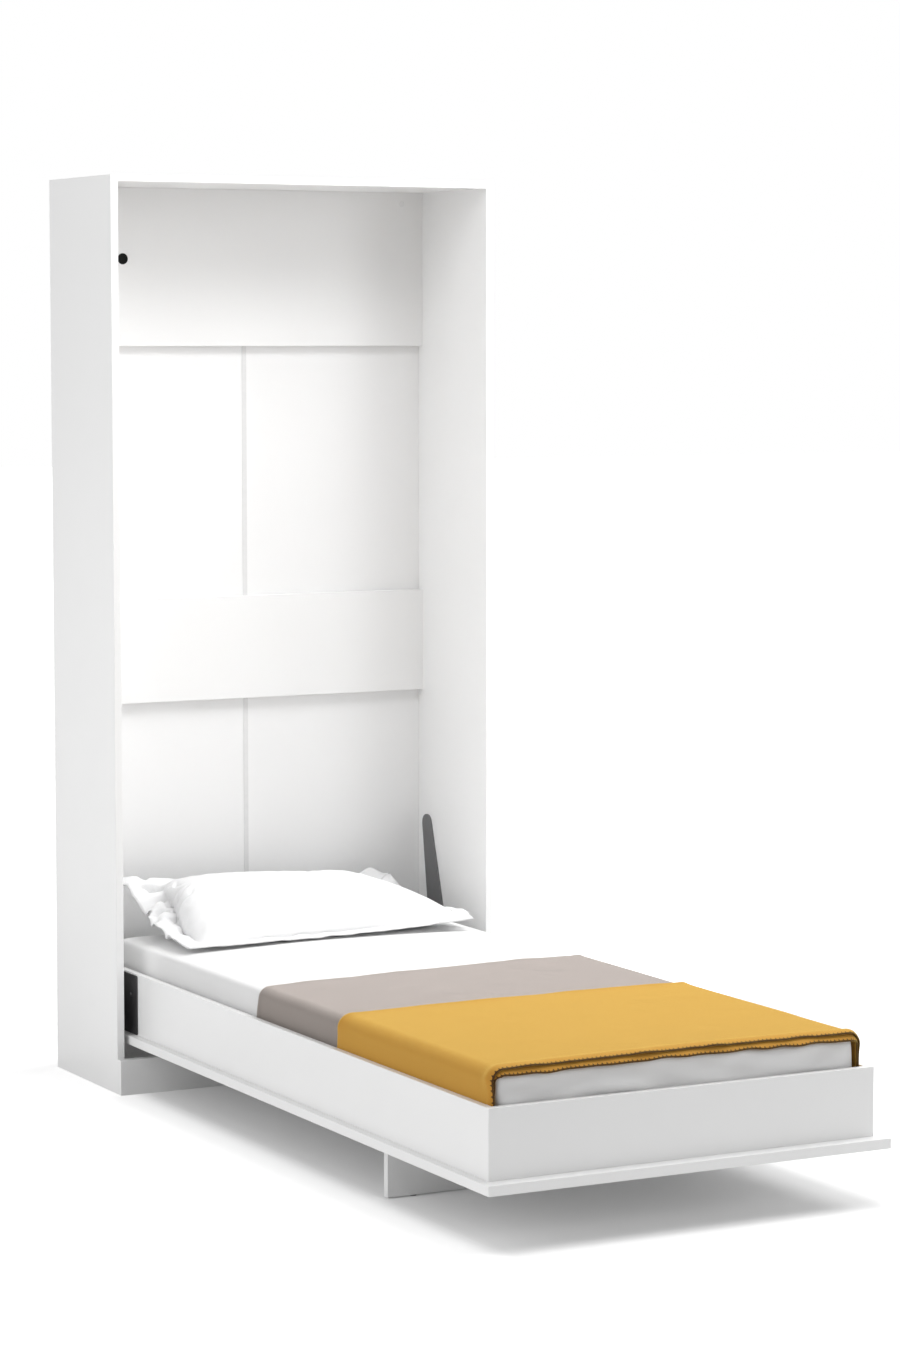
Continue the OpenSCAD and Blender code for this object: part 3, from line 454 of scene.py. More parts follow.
class Nodes:
    """The node tree of a material or a world, with short calls that add a node and link it."""

    def __init__(self, owner):
        owner.use_nodes = True
        self.owner = owner
        self.tree = owner.node_tree

    def feed(self, socket, value):
        """Links an output to a socket, or sets the socket's own value."""
        if isinstance(value, bpy.types.NodeSocket):
            self.tree.links.new(value, socket)
        else:
            socket.default_value = value

    def fill(self, node, **values):
        """Feeds a node's sockets, whose names are given with underscores for spaces, and sets
        its properties."""
        for key, value in values.items():
            socket = key.replace("_", " ")
            if socket in node.inputs:
                self.feed(node.inputs[socket], value)
            else:
                setattr(node, key, value)
        return node

    def add(self, kind, **values):
        """A new node, with its properties and sockets filled."""
        return self.fill(self.tree.nodes.new(kind), **values)

    def coordinates(self, scale=(1.0, 1.0, 1.0), use_uv=False):
        """Object coordinates, or the piece's own UV map, stretched by a scale for each axis."""
        source = self.add("ShaderNodeTexCoord").outputs["UV" if use_uv else "Object"]
        return self.add("ShaderNodeMapping", Vector=source, Scale=scale).outputs["Vector"]

    def noise(self, vector, scale, detail=3.0, roughness=0.5):
        """The value of a noise texture."""
        return self.add("ShaderNodeTexNoise", Vector=vector, Scale=scale, Detail=detail,
                        Roughness=roughness).outputs["Fac"]

    def bands(self, vector, direction, scale, distortion):
        """The value of a wave texture whose bands cross one axis, 0.314 / scale apart."""
        return self.add("ShaderNodeTexWave", bands_direction=direction, Vector=vector,
                        Scale=scale, Distortion=distortion, Detail=1.0).outputs["Fac"]

    def math(self, operation, *values, clamp=False):
        """One step of arithmetic on values or outputs."""
        node = self.add("ShaderNodeMath", operation=operation, use_clamp=clamp)
        for socket, value in zip(node.inputs, values):
            self.feed(socket, value)
        return node.outputs[0]

    def ranged(self, value, low, high):
        """A value of 0 to 1 spread from low to high."""
        node = self.add("ShaderNodeMapRange", Value=value, To_Min=low, To_Max=high)
        return node.outputs["Result"]

    def stepped(self, value, low, high, start, end):
        """A smooth step from start to end as the value goes from low to high."""
        node = self.add("ShaderNodeMapRange", interpolation_type="SMOOTHSTEP", Value=value,
                        From_Min=low, From_Max=high, To_Min=start, To_Max=end)
        return node.outputs["Result"]

    def mixed(self, first, second, share):
        """A blend from one colour to another by a share of 0 to 1."""
        node = self.add("ShaderNodeMix", data_type="RGBA", A=first, B=second, Factor=share)
        return node.outputs["Result"]

    def tinted(self, colour, value, depth):
        """The colour made darker and lighter by a value of 0 to 1, by a share of depth."""
        darker = [c * (1 - depth) for c in colour]
        lighter = [min(c * (1 + depth), 1.0) for c in colour]
        return self.mixed((*darker, 1.0), (*lighter, 1.0), value)

    def bump(self, height, distance, strength):
        """A bump from a value of 0 to 1 that stands for a height of 0 to distance."""
        node = self.add("ShaderNodeBump", Height=height, Distance=distance, Strength=strength)
        return node.outputs["Normal"]

    def shown(self):
        """1 for a ray from the camera, straight or by way of gloss or glass, and 0 for others."""
        path = self.add("ShaderNodeLightPath").outputs
        straight = self.math("MAXIMUM", path["Is Camera Ray"], path["Is Glossy Ray"])
        return self.math("MAXIMUM", straight, path["Is Transmission Ray"])

    def finish(self, **values):
        """Fills the sockets of a material's shader and gives the material."""
        self.fill(self.tree.nodes["Principled BSDF"], **values)
        return self.owner


def new_material(name):
    """The nodes of a new material."""
    return Nodes(bpy.data.materials.new(name))


def board_material(name, colour, gloss=0.34):
    """White melamine: a fine pearl texture, a faint change of tone, and a satin gloss that
    varies a little."""
    nodes = new_material(name)
    place = nodes.coordinates()
    tone = nodes.noise(place, 2.2, 4.0)
    pearl = nodes.noise(place, 900.0, 2.0, 0.6)
    sheen = nodes.noise(place, 14.0)
    return nodes.finish(
        Base_Color=nodes.tinted(colour, tone, 0.012),
        Roughness=nodes.ranged(sheen, gloss - 0.04, gloss + 0.06),
        Normal=nodes.bump(pearl, 0.06 * MM, 0.5),
        Specular_IOR_Level=0.42,
    )


def wood_material(name, colour):
    """Bare wood: long grain bands that wander, with darker pores."""
    nodes = new_material(name)
    place = nodes.coordinates((3.0, 40.0, 40.0))
    grain = nodes.noise(place, 2.0, 6.0, 0.6)
    pores = nodes.noise(place, 22.0, 3.0, 0.7)
    both = nodes.math("ADD", nodes.math("MULTIPLY", grain, 0.7), nodes.math("MULTIPLY", pores, 0.3))
    return nodes.finish(
        Base_Color=nodes.tinted(colour, both, 0.28),
        Roughness=nodes.ranged(pores, 0.5, 0.7),
        Normal=nodes.bump(pores, 0.2 * MM, 0.4),
    )


def paint_material(name, colour):
    """Powder paint on steel: a fine pebbled skin and a soft gloss."""
    nodes = new_material(name)
    place = nodes.coordinates()
    pebble = nodes.noise(place, 700.0, 3.0, 0.6)
    wear = nodes.noise(place, 30.0, 4.0)
    return nodes.finish(
        Base_Color=nodes.tinted(colour, wear, 0.06),
        Roughness=nodes.ranged(pebble, 0.38, 0.52),
        Normal=nodes.bump(pebble, 0.12 * MM, 0.5),
        Specular_IOR_Level=0.5,
    )


def metal_material(name, colour, roughness, brushed=0.0):
    """Bare metal: fine scratches along one axis and a change of gloss."""
    nodes = new_material(name)
    place = nodes.coordinates((60.0, 60.0, 900.0 if brushed else 60.0))
    scratch = nodes.noise(place, 3.0, 4.0, 0.65)
    return nodes.finish(
        Base_Color=nodes.tinted(colour, scratch, 0.05),
        Roughness=nodes.ranged(scratch, roughness - 0.05, roughness + 0.08),
        Normal=nodes.bump(scratch, 0.03 * MM, 0.3 + brushed),
        Metallic=1.0,
    )


def plastic_material(name, colour, roughness, shine=0.5):
    """Moulded plastic: a fine spark-eroded texture."""
    nodes = new_material(name)
    place = nodes.coordinates()
    texture = nodes.noise(place, 1400.0, 2.0)
    wear = nodes.noise(place, 60.0)
    return nodes.finish(
        Base_Color=nodes.tinted(colour, wear, 0.05),
        Roughness=nodes.ranged(texture, roughness - 0.05, roughness + 0.06),
        Normal=nodes.bump(texture, 0.05 * MM, 0.5),
        Specular_IOR_Level=shine,
    )


def hem_stitches_and_crease_shade(nodes, cloth, length):
    """The cloth's colour with dark overlock stitches along its two ends, at 0 and at its length
    on the UV map: a solid line at the edge, from which stitches reach inwards one by one. The
    dark line and the stitches are also painted shade: they stand in for the dark crease under
    the folded hem."""
    pitch, line, reach, blur = 10.5 * MM, 1.6 * MM, 4.0 * MM, 0.6 * MM
    # Near-black brown thread, which is also the painted shade of the crease under the folded hem
    thread = (0.042, 0.010, 0.003, 1.0)
    place = nodes.coordinates(use_uv=True)
    along = nodes.add("ShaderNodeSeparateXYZ", Vector=place).outputs["Y"]
    inward = nodes.math("MINIMUM", along, nodes.math("SUBTRACT", length, along))
    stitch = nodes.math("POWER", nodes.bands(place, "X", 0.314 / pitch, 3.0), 4.0)
    stitched_and_shaded = nodes.math("SUBTRACT", nodes.math("MULTIPLY_ADD", stitch, reach, line), inward)
    return nodes.mixed(cloth, thread, nodes.math("MULTIPLY", stitched_and_shaded, 1 / blur, clamp=True))


def cloth_material(name, colour, thread, depth, blotch, fuzz, slub, lint=(1.0, 1.0, 1.0), hem=0.0):
    """Woven cloth on the piece's own UV map in metres: warp and weft threads that cross, yarns
    of uneven tone along both, and a slow change of tone over the whole piece. A cloth whose hem
    length is given has stitched ends, whose dark thread is also painted shade of the crease
    under a folded hem. thread is the distance between threads, depth the height
    of the weave, blotch and slub the slow and the yarns' change of tone, and fuzz and lint the
    weight and colour of the sheen."""
    nodes = new_material(name)
    weave_place = nodes.coordinates(use_uv=True)
    band_scale = 1.0 / thread / math.pi
    warp = nodes.bands(weave_place, "X", band_scale, 0.3)
    weft = nodes.bands(weave_place, "Y", band_scale, 0.3)
    weave = nodes.math("MULTIPLY", warp, weft)
    yarns, drawn_out = 1.0 / thread / 2, 6.0
    along_warp = nodes.coordinates((yarns, drawn_out, 1.0), use_uv=True)
    along_weft = nodes.coordinates((drawn_out, yarns, 1.0), use_uv=True)
    both = nodes.math("ADD", nodes.noise(along_warp, 1.0, 1.0), nodes.noise(along_weft, 1.0, 1.0))
    yarn = nodes.math("MULTIPLY", both, 0.5)
    slow = nodes.noise(nodes.coordinates(), 5.0, 4.0, 0.55)
    uneven = nodes.math("MULTIPLY", yarn, slub)
    tone = nodes.math("ADD", uneven, nodes.math("MULTIPLY", slow, blotch))
    relief = 0.05
    tone = nodes.math("ADD", tone, nodes.math("MULTIPLY", weave, relief))
    spread = slub + blotch + relief
    woven = nodes.tinted(colour, nodes.math("DIVIDE", tone, spread), spread)
    return nodes.finish(
        Base_Color=hem_stitches_and_crease_shade(nodes, woven, hem) if hem else woven,
        Roughness=nodes.ranged(yarn, 0.82, 0.95),
        Normal=nodes.bump(weave, depth, 0.6),
        Specular_IOR_Level=0.25,
        Sheen_Weight=fuzz,
        Sheen_Roughness=0.5,
        Sheen_Tint=(*lint, 1.0),
    )


def dress(material, *node_names):
    """Puts a material on each of the named CAD nodes."""
    for name in node_names:
        for slot in frame["nodes"][name].material_slots:
            slot.link = "OBJECT"
            slot.material = material


def pair(name):
    """The names of a node's left and right one."""
    return f"{name}_left", f"{name}_right"


def cover(piece, material, body, slot_name, *replaced):
    """Gives a new piece its material, body and the nodes that it stands for. slot_name is not used.
    """
    piece.data.materials.clear()
    piece.data.materials.append(material)
    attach(piece, body)
    if replaced:
        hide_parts(*replaced)


# The mattress's skin, which the bedding follows


def edge_section(sizes):
    """The radius of the mattress's long edge, and the place of its centre across and in height."""
    radius = sizes.mattress_radius
    return radius, MATTRESS_HALF - radius, MATTRESS_TOP - sizes.mattress_crown - radius


def over_mattress(across, along, lift, sizes):
    """A point on the mattress's skin, moved out by lift. across is the length from the middle
    of the top, round the long edge and down the side, and along is the length from the wall,
    which runs on round the foot edge. The section is a top with round corners, and past the
    start of the foot's rounding its radius shrinks with the cosine of the turn."""
    radius, flat_half, centre_z = edge_section(sizes)
    bend_start = MATTRESS_FOOT - radius
    reach = radius + lift
    turn = np.clip((along - bend_start) / reach, 0.0, math.pi / 2)
    distance = np.where(turn > 0, bend_start + reach * np.sin(turn), along)
    shrunk = reach * np.cos(turn)
    beyond = np.maximum(np.abs(across) - flat_half, 0.0)
    corner = np.clip(beyond / reach, 0.0, math.pi / 2)
    down = np.maximum(beyond - reach * math.pi / 2, 0.0)
    round_x = np.sign(across) * (flat_half + shrunk * np.sin(corner))
    x = np.where(np.abs(across) <= flat_half, across, round_x)
    crown = sizes.mattress_crown * (1.0 - (x / MATTRESS_HALF) ** 2)
    z = centre_z + shrunk * np.cos(corner) - down + np.maximum(crown, 0.0)
    return np.stack([x, -distance, z], -1)


def down_to(height, lift, sizes):
    """The across length at which a layer at that lift hangs down to a height."""
    radius, flat_half, centre_z = edge_section(sizes)
    return flat_half + (radius + lift) * math.pi / 2 + centre_z - height


# Operators


class WALLBED_OT_boards(Operator):
    """Finish the boards of the cabinet and the bed box"""

    bl_idname = "wallbed.boards"
    bl_label = "Board finishes"

    def execute(self, context):
        colours = context.scene.wallbed_colours
        dress(board_material("white_melamine", colours.board),
              "left_side_panel", "right_side_panel", "top_panel", "upper_rail", "middle_rail",
              "lower_rail", "plinth", "front_panel", *pair("side_rail"), "foot_rail", "head_rail",
              "leg_board")
        dress(board_material("white_back_board", colours.back_board, gloss=0.30),
              *pair("back_panel"))
        # The joint strip's grey is painted shade of the joint between the back panels
        dress(plastic_material("grey_strip_with_joint_shade", (0.74, 0.74, 0.74), 0.42), "back_joint_strip")
        dress(wood_material("bare_wood", colours.bare_wood),
              "cabinet_dowels", "frame_dowels", *pair("slat_ledge"), "slats")
        return {"FINISHED"}


class WALLBED_OT_metalwork(Operator):
    """Finish the steel plates, pins, springs and plastic fittings"""

    bl_idname = "wallbed.metalwork"
    bl_label = "Metalwork finishes"

    def execute(self, context):
        colours = context.scene.wallbed_colours
        dress(paint_material("dark_steel_paint", colours.dark_steel),
              *pair("side_plate"), *pair("plate_screws"), *pair("spring_cylinder"), "spring_clips")
        # The crank plates and their bolts are painted near black as painted shade of the narrow gap
        # beside the cabinet's side
        dress(paint_material("black_paint_with_gap_shade", (0.035, 0.035, 0.036)),
              *pair("crank_plate"), *pair("crank_bolts"))
        dress(metal_material("zinc_plate", (0.62, 0.63, 0.65), 0.34, brushed=0.3),
              "plinth_brackets", *pair("pivot_pin"), "leg_hinge_fixed_leaves",
              "leg_hinge_moving_leaves")
        dress(metal_material("rod_chrome", (0.78, 0.78, 0.79), 0.12), *pair("spring_rod"))
        dress(plastic_material("black_plastic", (0.004, 0.004, 0.004), 0.6, 0.12), "cable_cap")
        dress(plastic_material("bush_plastic", (0.76, 0.74, 0.68), 0.5), *pair("pivot_bush"))
        dress(plastic_material("glide_plastic", (0.25, 0.25, 0.25), 0.55), "leg_glides")
        return {"FINISHED"}


class WALLBED_OT_small_parts(Operator):
    """Make the screw caps on the upper rail"""

    bl_idname = "wallbed.small_parts"
    bl_label = "Screw caps"

    def execute(self, context):
        radius = context.scene.wallbed_sizes.cap_radius
        height = 1.6 * MM
        profile = [(0.0, 0.0), (radius, 0.0), (radius, height * 0.45),
                   (radius * 0.93, height * 0.82), (radius * 0.7, height * 0.96), (0.0, height)]
        holes = next(m for m in frame["record"]["mounts"] if m["name"] == "wall_fixing")
        reach = holes["dims"]["spacing_x_mm"] * MM / 2
        level = holes["pos_m"][2]
        outwards = (0, -1, 0)
        caps = [turned(f"cap_{side:+d}", profile, (side * reach, RAIL_FRONT, level), outwards)
                for side in (-1, 1)]
        cover(joined("wall_screw_caps", caps),
              plastic_material("white_cap", (0.82, 0.82, 0.82), 0.4), "cabinet", "strip_plastic")
        return {"FINISHED"}


class WALLBED_OT_mattress(Operator):
    """Make the mattress in its fitted sheet"""

    bl_idname = "wallbed.mattress"
    bl_label = "Mattress"

    def execute(self, context):
        sizes = context.scene.wallbed_sizes
        piece = self.block(sizes)
        remesh = piece.modifiers.new("Even", "REMESH")
        remesh.mode = "VOXEL"
        remesh.voxel_size = 14 * MM
        bpy.context.view_layer.objects.active = piece
        bpy.ops.object.modifier_apply(modifier=remesh.name)
        points = points_of(piece)
        points = self.puffed(piece, points)
        points = self.wrinkled(points, sizes)
        piece.data.vertices.foreach_set("co", points.ravel())
        smooth = piece.modifiers.new("Round", "SUBSURF")
        smooth.levels = smooth.render_levels = 1
        bpy.ops.object.modifier_apply(modifier=smooth.name)
        self.add_uv(piece)
        piece.data.polygons.foreach_set("use_smooth", np.ones(len(piece.data.polygons), bool))
        cloth = cloth_material(
            "sheet_cotton", context.scene.wallbed_colours.sheet, thread=0.8 * MM, depth=0.1 * MM,
            blotch=0.012, fuzz=0.15, slub=0.015)
        cover(piece, cloth, "bed", "mattress_cloth", "mattress")
        return {"FINISHED"}

    def block(self, sizes):
        """A long block of round sections: a rectangle with round corners carried along the
        length, whose half sizes shrink with a cosine near the two ends."""
        radius, crown = sizes.mattress_radius, sizes.mattress_crown
        angle = np.linspace(0, math.tau, 160, endpoint=False)
        turn = np.linspace(0, math.pi / 2, 9)
        inset = radius * (1 - np.cos(turn))[::-1]
        head = MATTRESS_HEAD + radius * (1 - np.sin(turn))[::-1]
        foot = MATTRESS_FOOT - radius * (1 - np.sin(turn))
        distance = np.concatenate([head, foot])[:, None]
        inset = np.concatenate([inset, inset[::-1]])[:, None]
        half_x = MATTRESS_HALF - inset
        half_z = (MATTRESS_TOP - crown - MATTRESS_LOW.z) / 2 - inset
        middle_z = (MATTRESS_TOP - crown + MATTRESS_LOW.z) / 2
        corner = np.maximum(radius - inset, 1 * MM)
        cx, cz = np.cos(angle)[None], np.sin(angle)[None]
        span = 1.0 / np.maximum(np.abs(cx), np.abs(cz))
        x = np.clip(cx * span, -1, 1) * (half_x - corner) + corner * cx
        z = np.clip(cz * span, -1, 1) * (half_z - corner) + corner * cz
        z = np.where(z > 0, z + crown * (1 - (x / MATTRESS_HALF) ** 2), z)
        rings = np.stack([x, np.broadcast_to(-distance, x.shape), z + middle_z], -1)
        return closed_tube("mattress_in_sheet", rings, [rings[0].mean(0), rings[-1].mean(0)])

    def puffed(self, piece, points):
        """The block a little swollen by Cloth, with its underside held and each point's move
        capped."""
        most = 2.5 * MM
        held = piece.vertex_groups.new(name="held")
        low = np.flatnonzero(points[:, 2] < MATTRESS_LOW.z + 0.03)
        held.add(low.tolist(), 1.0, "REPLACE")
        swollen = simulated(piece, frames=10, pressure=1.2, stiffness=20.0, bending=2.0,
                            pin="held")
        piece.vertex_groups.remove(held)
        move = swollen - points
        length = np.linalg.norm(move, axis=1, keepdims=True)
        return points + move * np.minimum(1.0, most / np.maximum(length, 1e-9))

    def wrinkled(self, points, sizes):
        """Soft wrinkles of the sheet on the sides, the foot and the head: noise that is long
        across and short in height, fading out at the top and the bottom. The long sides are
        drawn in at half their height by a sine, the foot has a few long hollows above its
        middle, and the top has a slight wave that is pressed flat under the bedding."""
        x, distance, z = points[:, 0], -points[:, 1], points[:, 2]
        share = (z - MATTRESS_LOW.z) / (MATTRESS_TOP - MATTRESS_LOW.z)
        fade = ease(share, 0.02, 0.3) * (1 - ease(share, 0.86, 1.0))
        amount = sizes.sheet_wrinkle * fade
        foot = ease(distance, MATTRESS_FOOT - 0.012, MATTRESS_FOOT - 0.002)
        head = 1 - ease(distance, MATTRESS_HEAD + 0.002, MATTRESS_HEAD + 0.012)
        side = over_edge(x, 0.006, -0.001)
        across = 0.9 * ripple(x + 0.8 * z, z, 0.075, 11, 3.2)
        across = across + 0.5 * ripple(x - 0.5 * z, z, 0.045, 12, 2.6)
        along = 0.7 * ripple(distance, z, 0.2, 13, 1.6) + 0.4 * ripple(distance, z, 0.08, 14, 2.0)
        hollow = np.maximum(bell(share - 0.62, 0.12) * ripple_along(x, 0.5, 16), 0)
        out_y = amount * ((1.4 * across - 1.8 - hollow) * foot - (across - 1.0) * head)
        drawn_in = 3 * MM * np.sin(math.pi * np.clip(share, 0, 1)) * side
        out_x = (0.6 * (along - 1.0) * amount - drawn_in) * side * np.sign(x)
        out_z = 0.6 * MM * ease(share, 0.97, 1.0) * ripple(x, distance, 0.35, 15)
        moved = points + np.stack([out_x, -out_y, out_z], -1)
        throw_start = -THROW_HIGH.y
        pressed = ease(distance, throw_start - 0.02, throw_start + 0.01) * ease(share, 0.7, 0.9)
        limit = MATTRESS_TOP - sizes.mattress_crown * (x / MATTRESS_HALF) ** 2 - 1.2 * MM
        limit = np.where(pressed > 0, limit + 4 * MM * (1 - pressed), np.inf)
        moved[:, 2] = np.minimum(moved[:, 2], limit)
        return moved

    def add_uv(self, piece):
        """A box map in metres: each face is laid flat along its largest normal axis."""
        mesh = piece.data
        points = points_of(piece)
        corner = np.empty(len(mesh.loops), int)
        mesh.loops.foreach_get("vertex_index", corner)
        normal = np.empty(len(mesh.polygons) * 3)
        mesh.polygons.foreach_get("normal", normal)
        total = np.empty(len(mesh.polygons), int)
        mesh.polygons.foreach_get("loop_total", total)
        axis = np.repeat(np.abs(normal.reshape(-1, 3)).argmax(1), total)
        place = points[corner]
        first = np.where(axis == 0, place[:, 1], place[:, 0])
        second = np.where(axis == 2, place[:, 1], place[:, 2])
        layer = mesh.uv_layers.new(name="UVMap")
        layer.data.foreach_set("uv", np.stack([first, second], -1).ravel())


class WALLBED_OT_throw(Operator):
    """Make the taupe throw over the mattress"""

    bl_idname = "wallbed.throw"
    bl_label = "Throw"

    def execute(self, context):
        sizes = context.scene.wallbed_sizes
        thick = sizes.throw_thickness
        lift = 0.5 * MM + thick / 2
        reach = down_to(THROW_LOW.z, lift, sizes)
        head, foot = -THROW_HIGH.y, -THROW_LOW.y
        across, share = np.meshgrid(np.linspace(-reach, reach, 230), np.linspace(0, 1, 190))
        # The head edge lies askew, and nearer to the head where it hangs
        skew = sizes.throw_skew * np.clip(across / MATTRESS_HALF, -1, 1) / 2
        start = head - skew - 0.010 - 0.018 * over_edge(across, 0.03, 0.08)
        start = start + 2.2 * MM * ripple_along(across, 0.18, 21)
        along = start + share * (foot - start)
        fold = ripple(across, along, 0.30, 22, 0.8)
        soft = ripple(across, along, 0.11, 23)
        on_top = 1 - over_edge(across, 0.05, 0)
        at_edge = bell(along - start, 0.012)
        raised = on_top * (0.9 * MM * fold + 0.3 * MM * soft) + 0.6 * MM * at_edge * (1 + soft)
        points = over_mattress(across, along, lift + np.maximum(raised, 0.0), sizes)
        thickness = thick * (1 + 0.35 * at_edge)
        piece = cloth_shell("taupe_throw", points, thickness, np.stack([across, along], -1))
        cloth = cloth_material(
            "taupe_weave", context.scene.wallbed_colours.throw, thread=1.4 * MM, depth=0.4 * MM,
            blotch=0.05, fuzz=1.0, slub=0.08, lint=(1.0, 0.90, 0.85))
        cover(piece, cloth, "bed", "taupe_cloth", "grey_throw")
        return {"FINISHED"}


class WALLBED_OT_blanket(Operator):
    """Make the mustard blanket, folded double over the foot of the bed"""

    bl_idname = "wallbed.blanket"
    bl_label = "Blanket"

    def execute(self, context):
        sizes = context.scene.wallbed_sizes
        thick = sizes.blanket_thickness
        low_lift = 0.5 * MM + sizes.throw_thickness + 0.4 * MM + thick / 2
        gap = thick + 0.5 * MM
        head, foot = -BLANKET_HIGH.y, -BLANKET_LOW.y
        length = foot - head
        half_width = down_to(BLANKET_LOW.z, low_lift, sizes)
        # Shares of the length, from the lower hem over the fold to the upper hem
        fold, bend = 0.5, 0.004
        ends = (0, 0.012, 0.46, 0.54, 0.985, 1)
        steps = [np.linspace(low, high, count, endpoint=high == 1)
                 for low, high, count in zip(ends, ends[1:], (6, 66, 42, 110, 12))]
        columns = np.linspace(-half_width, half_width, 240)
        across, share = np.meshgrid(columns, np.concatenate(steps))
        upper = share > fold
        outward = np.where(upper, (share - fold) / (1 - fold), 1 - share / fold)
        # Where the fold and the two hems lie
        wave = ripple_along(across, 0.16, 31)
        start = head + 1 * MM + 2 * MM * wave - 0.020 * over_edge(across, 0.06, 0.07)
        hem_wave = ripple_along(across, 0.13, 34)
        high_end = MATTRESS_FOOT - 3 * MM + 2 * MM * hem_wave
        low_end = MATTRESS_FOOT + 7 * MM + 1.5 * MM * ripple_along(across, 0.09, 35)
        low_end = low_end - 0.012 * over_edge(across, 0.01, 0.02)
        end = np.where(upper, high_end, low_end)
        along = start + outward * (end - start)
        from_hem = end - along
        # The upper layer's rise over the lower one, with a half turn of a sine in the fold
        turn = np.clip((share - fold) / bend, -1, 1) * math.pi / 2
        in_fold = np.abs(share - fold) <= bend
        rise = np.where(in_fold, gap * (0.5 + 0.5 * np.sin(turn)), np.where(upper, gap, 0.0))
        on_top = 1 - over_edge(across, 0.05, 0.02)
        level = 1 - over_edge(across, -0.02, 0.05)
        part_level = 0.35 + 0.65 * level
        puff = 3.6 * MM * np.exp(-outward * length / 0.016) * upper * (1 + 0.3 * wave)
        broad = MM * ripple(across, along, 0.34, 32) + 0.4 * MM * ripple(across, along, 0.12, 33)
        # The hems: the upper one stands open in waves, and both are rolled thicker
        hollow = 4 * MM * bell(from_hem - 0.018, 0.014)
        lip = bell(from_hem, 0.010) * (1.2 * MM + 2.6 * MM * np.maximum(hem_wave, 0.0))
        lift = low_lift + rise + puff * part_level + np.maximum(on_top * broad, 0.0)
        lift = lift + (hollow + lip) * level * upper
        points = over_mattress(across, along, lift, sizes)
        hem = sizes.blanket_hem / thick - 1
        roll = bell(from_hem, 0.005) * part_level * np.where(upper, 0.25, 0.45)
        uv = np.stack([across, share * 2 * length], -1)
        piece = cloth_shell("mustard_blanket_folded", points, thick * (1 + hem * roll), uv)
        # The blanket's dark stitched hems are also painted shade of the crease under the upper hem
        cloth = cloth_material(
            "mustard_weave", context.scene.wallbed_colours.blanket, thread=1.6 * MM,
            depth=0.4 * MM, blotch=0.045, fuzz=1.0, slub=0.07, lint=(1.0, 0.74, 0.20),
            hem=2 * length)
        cover(piece, cloth, "bed", "mustard_cloth", "mustard_blanket")
        return {"FINISHED"}


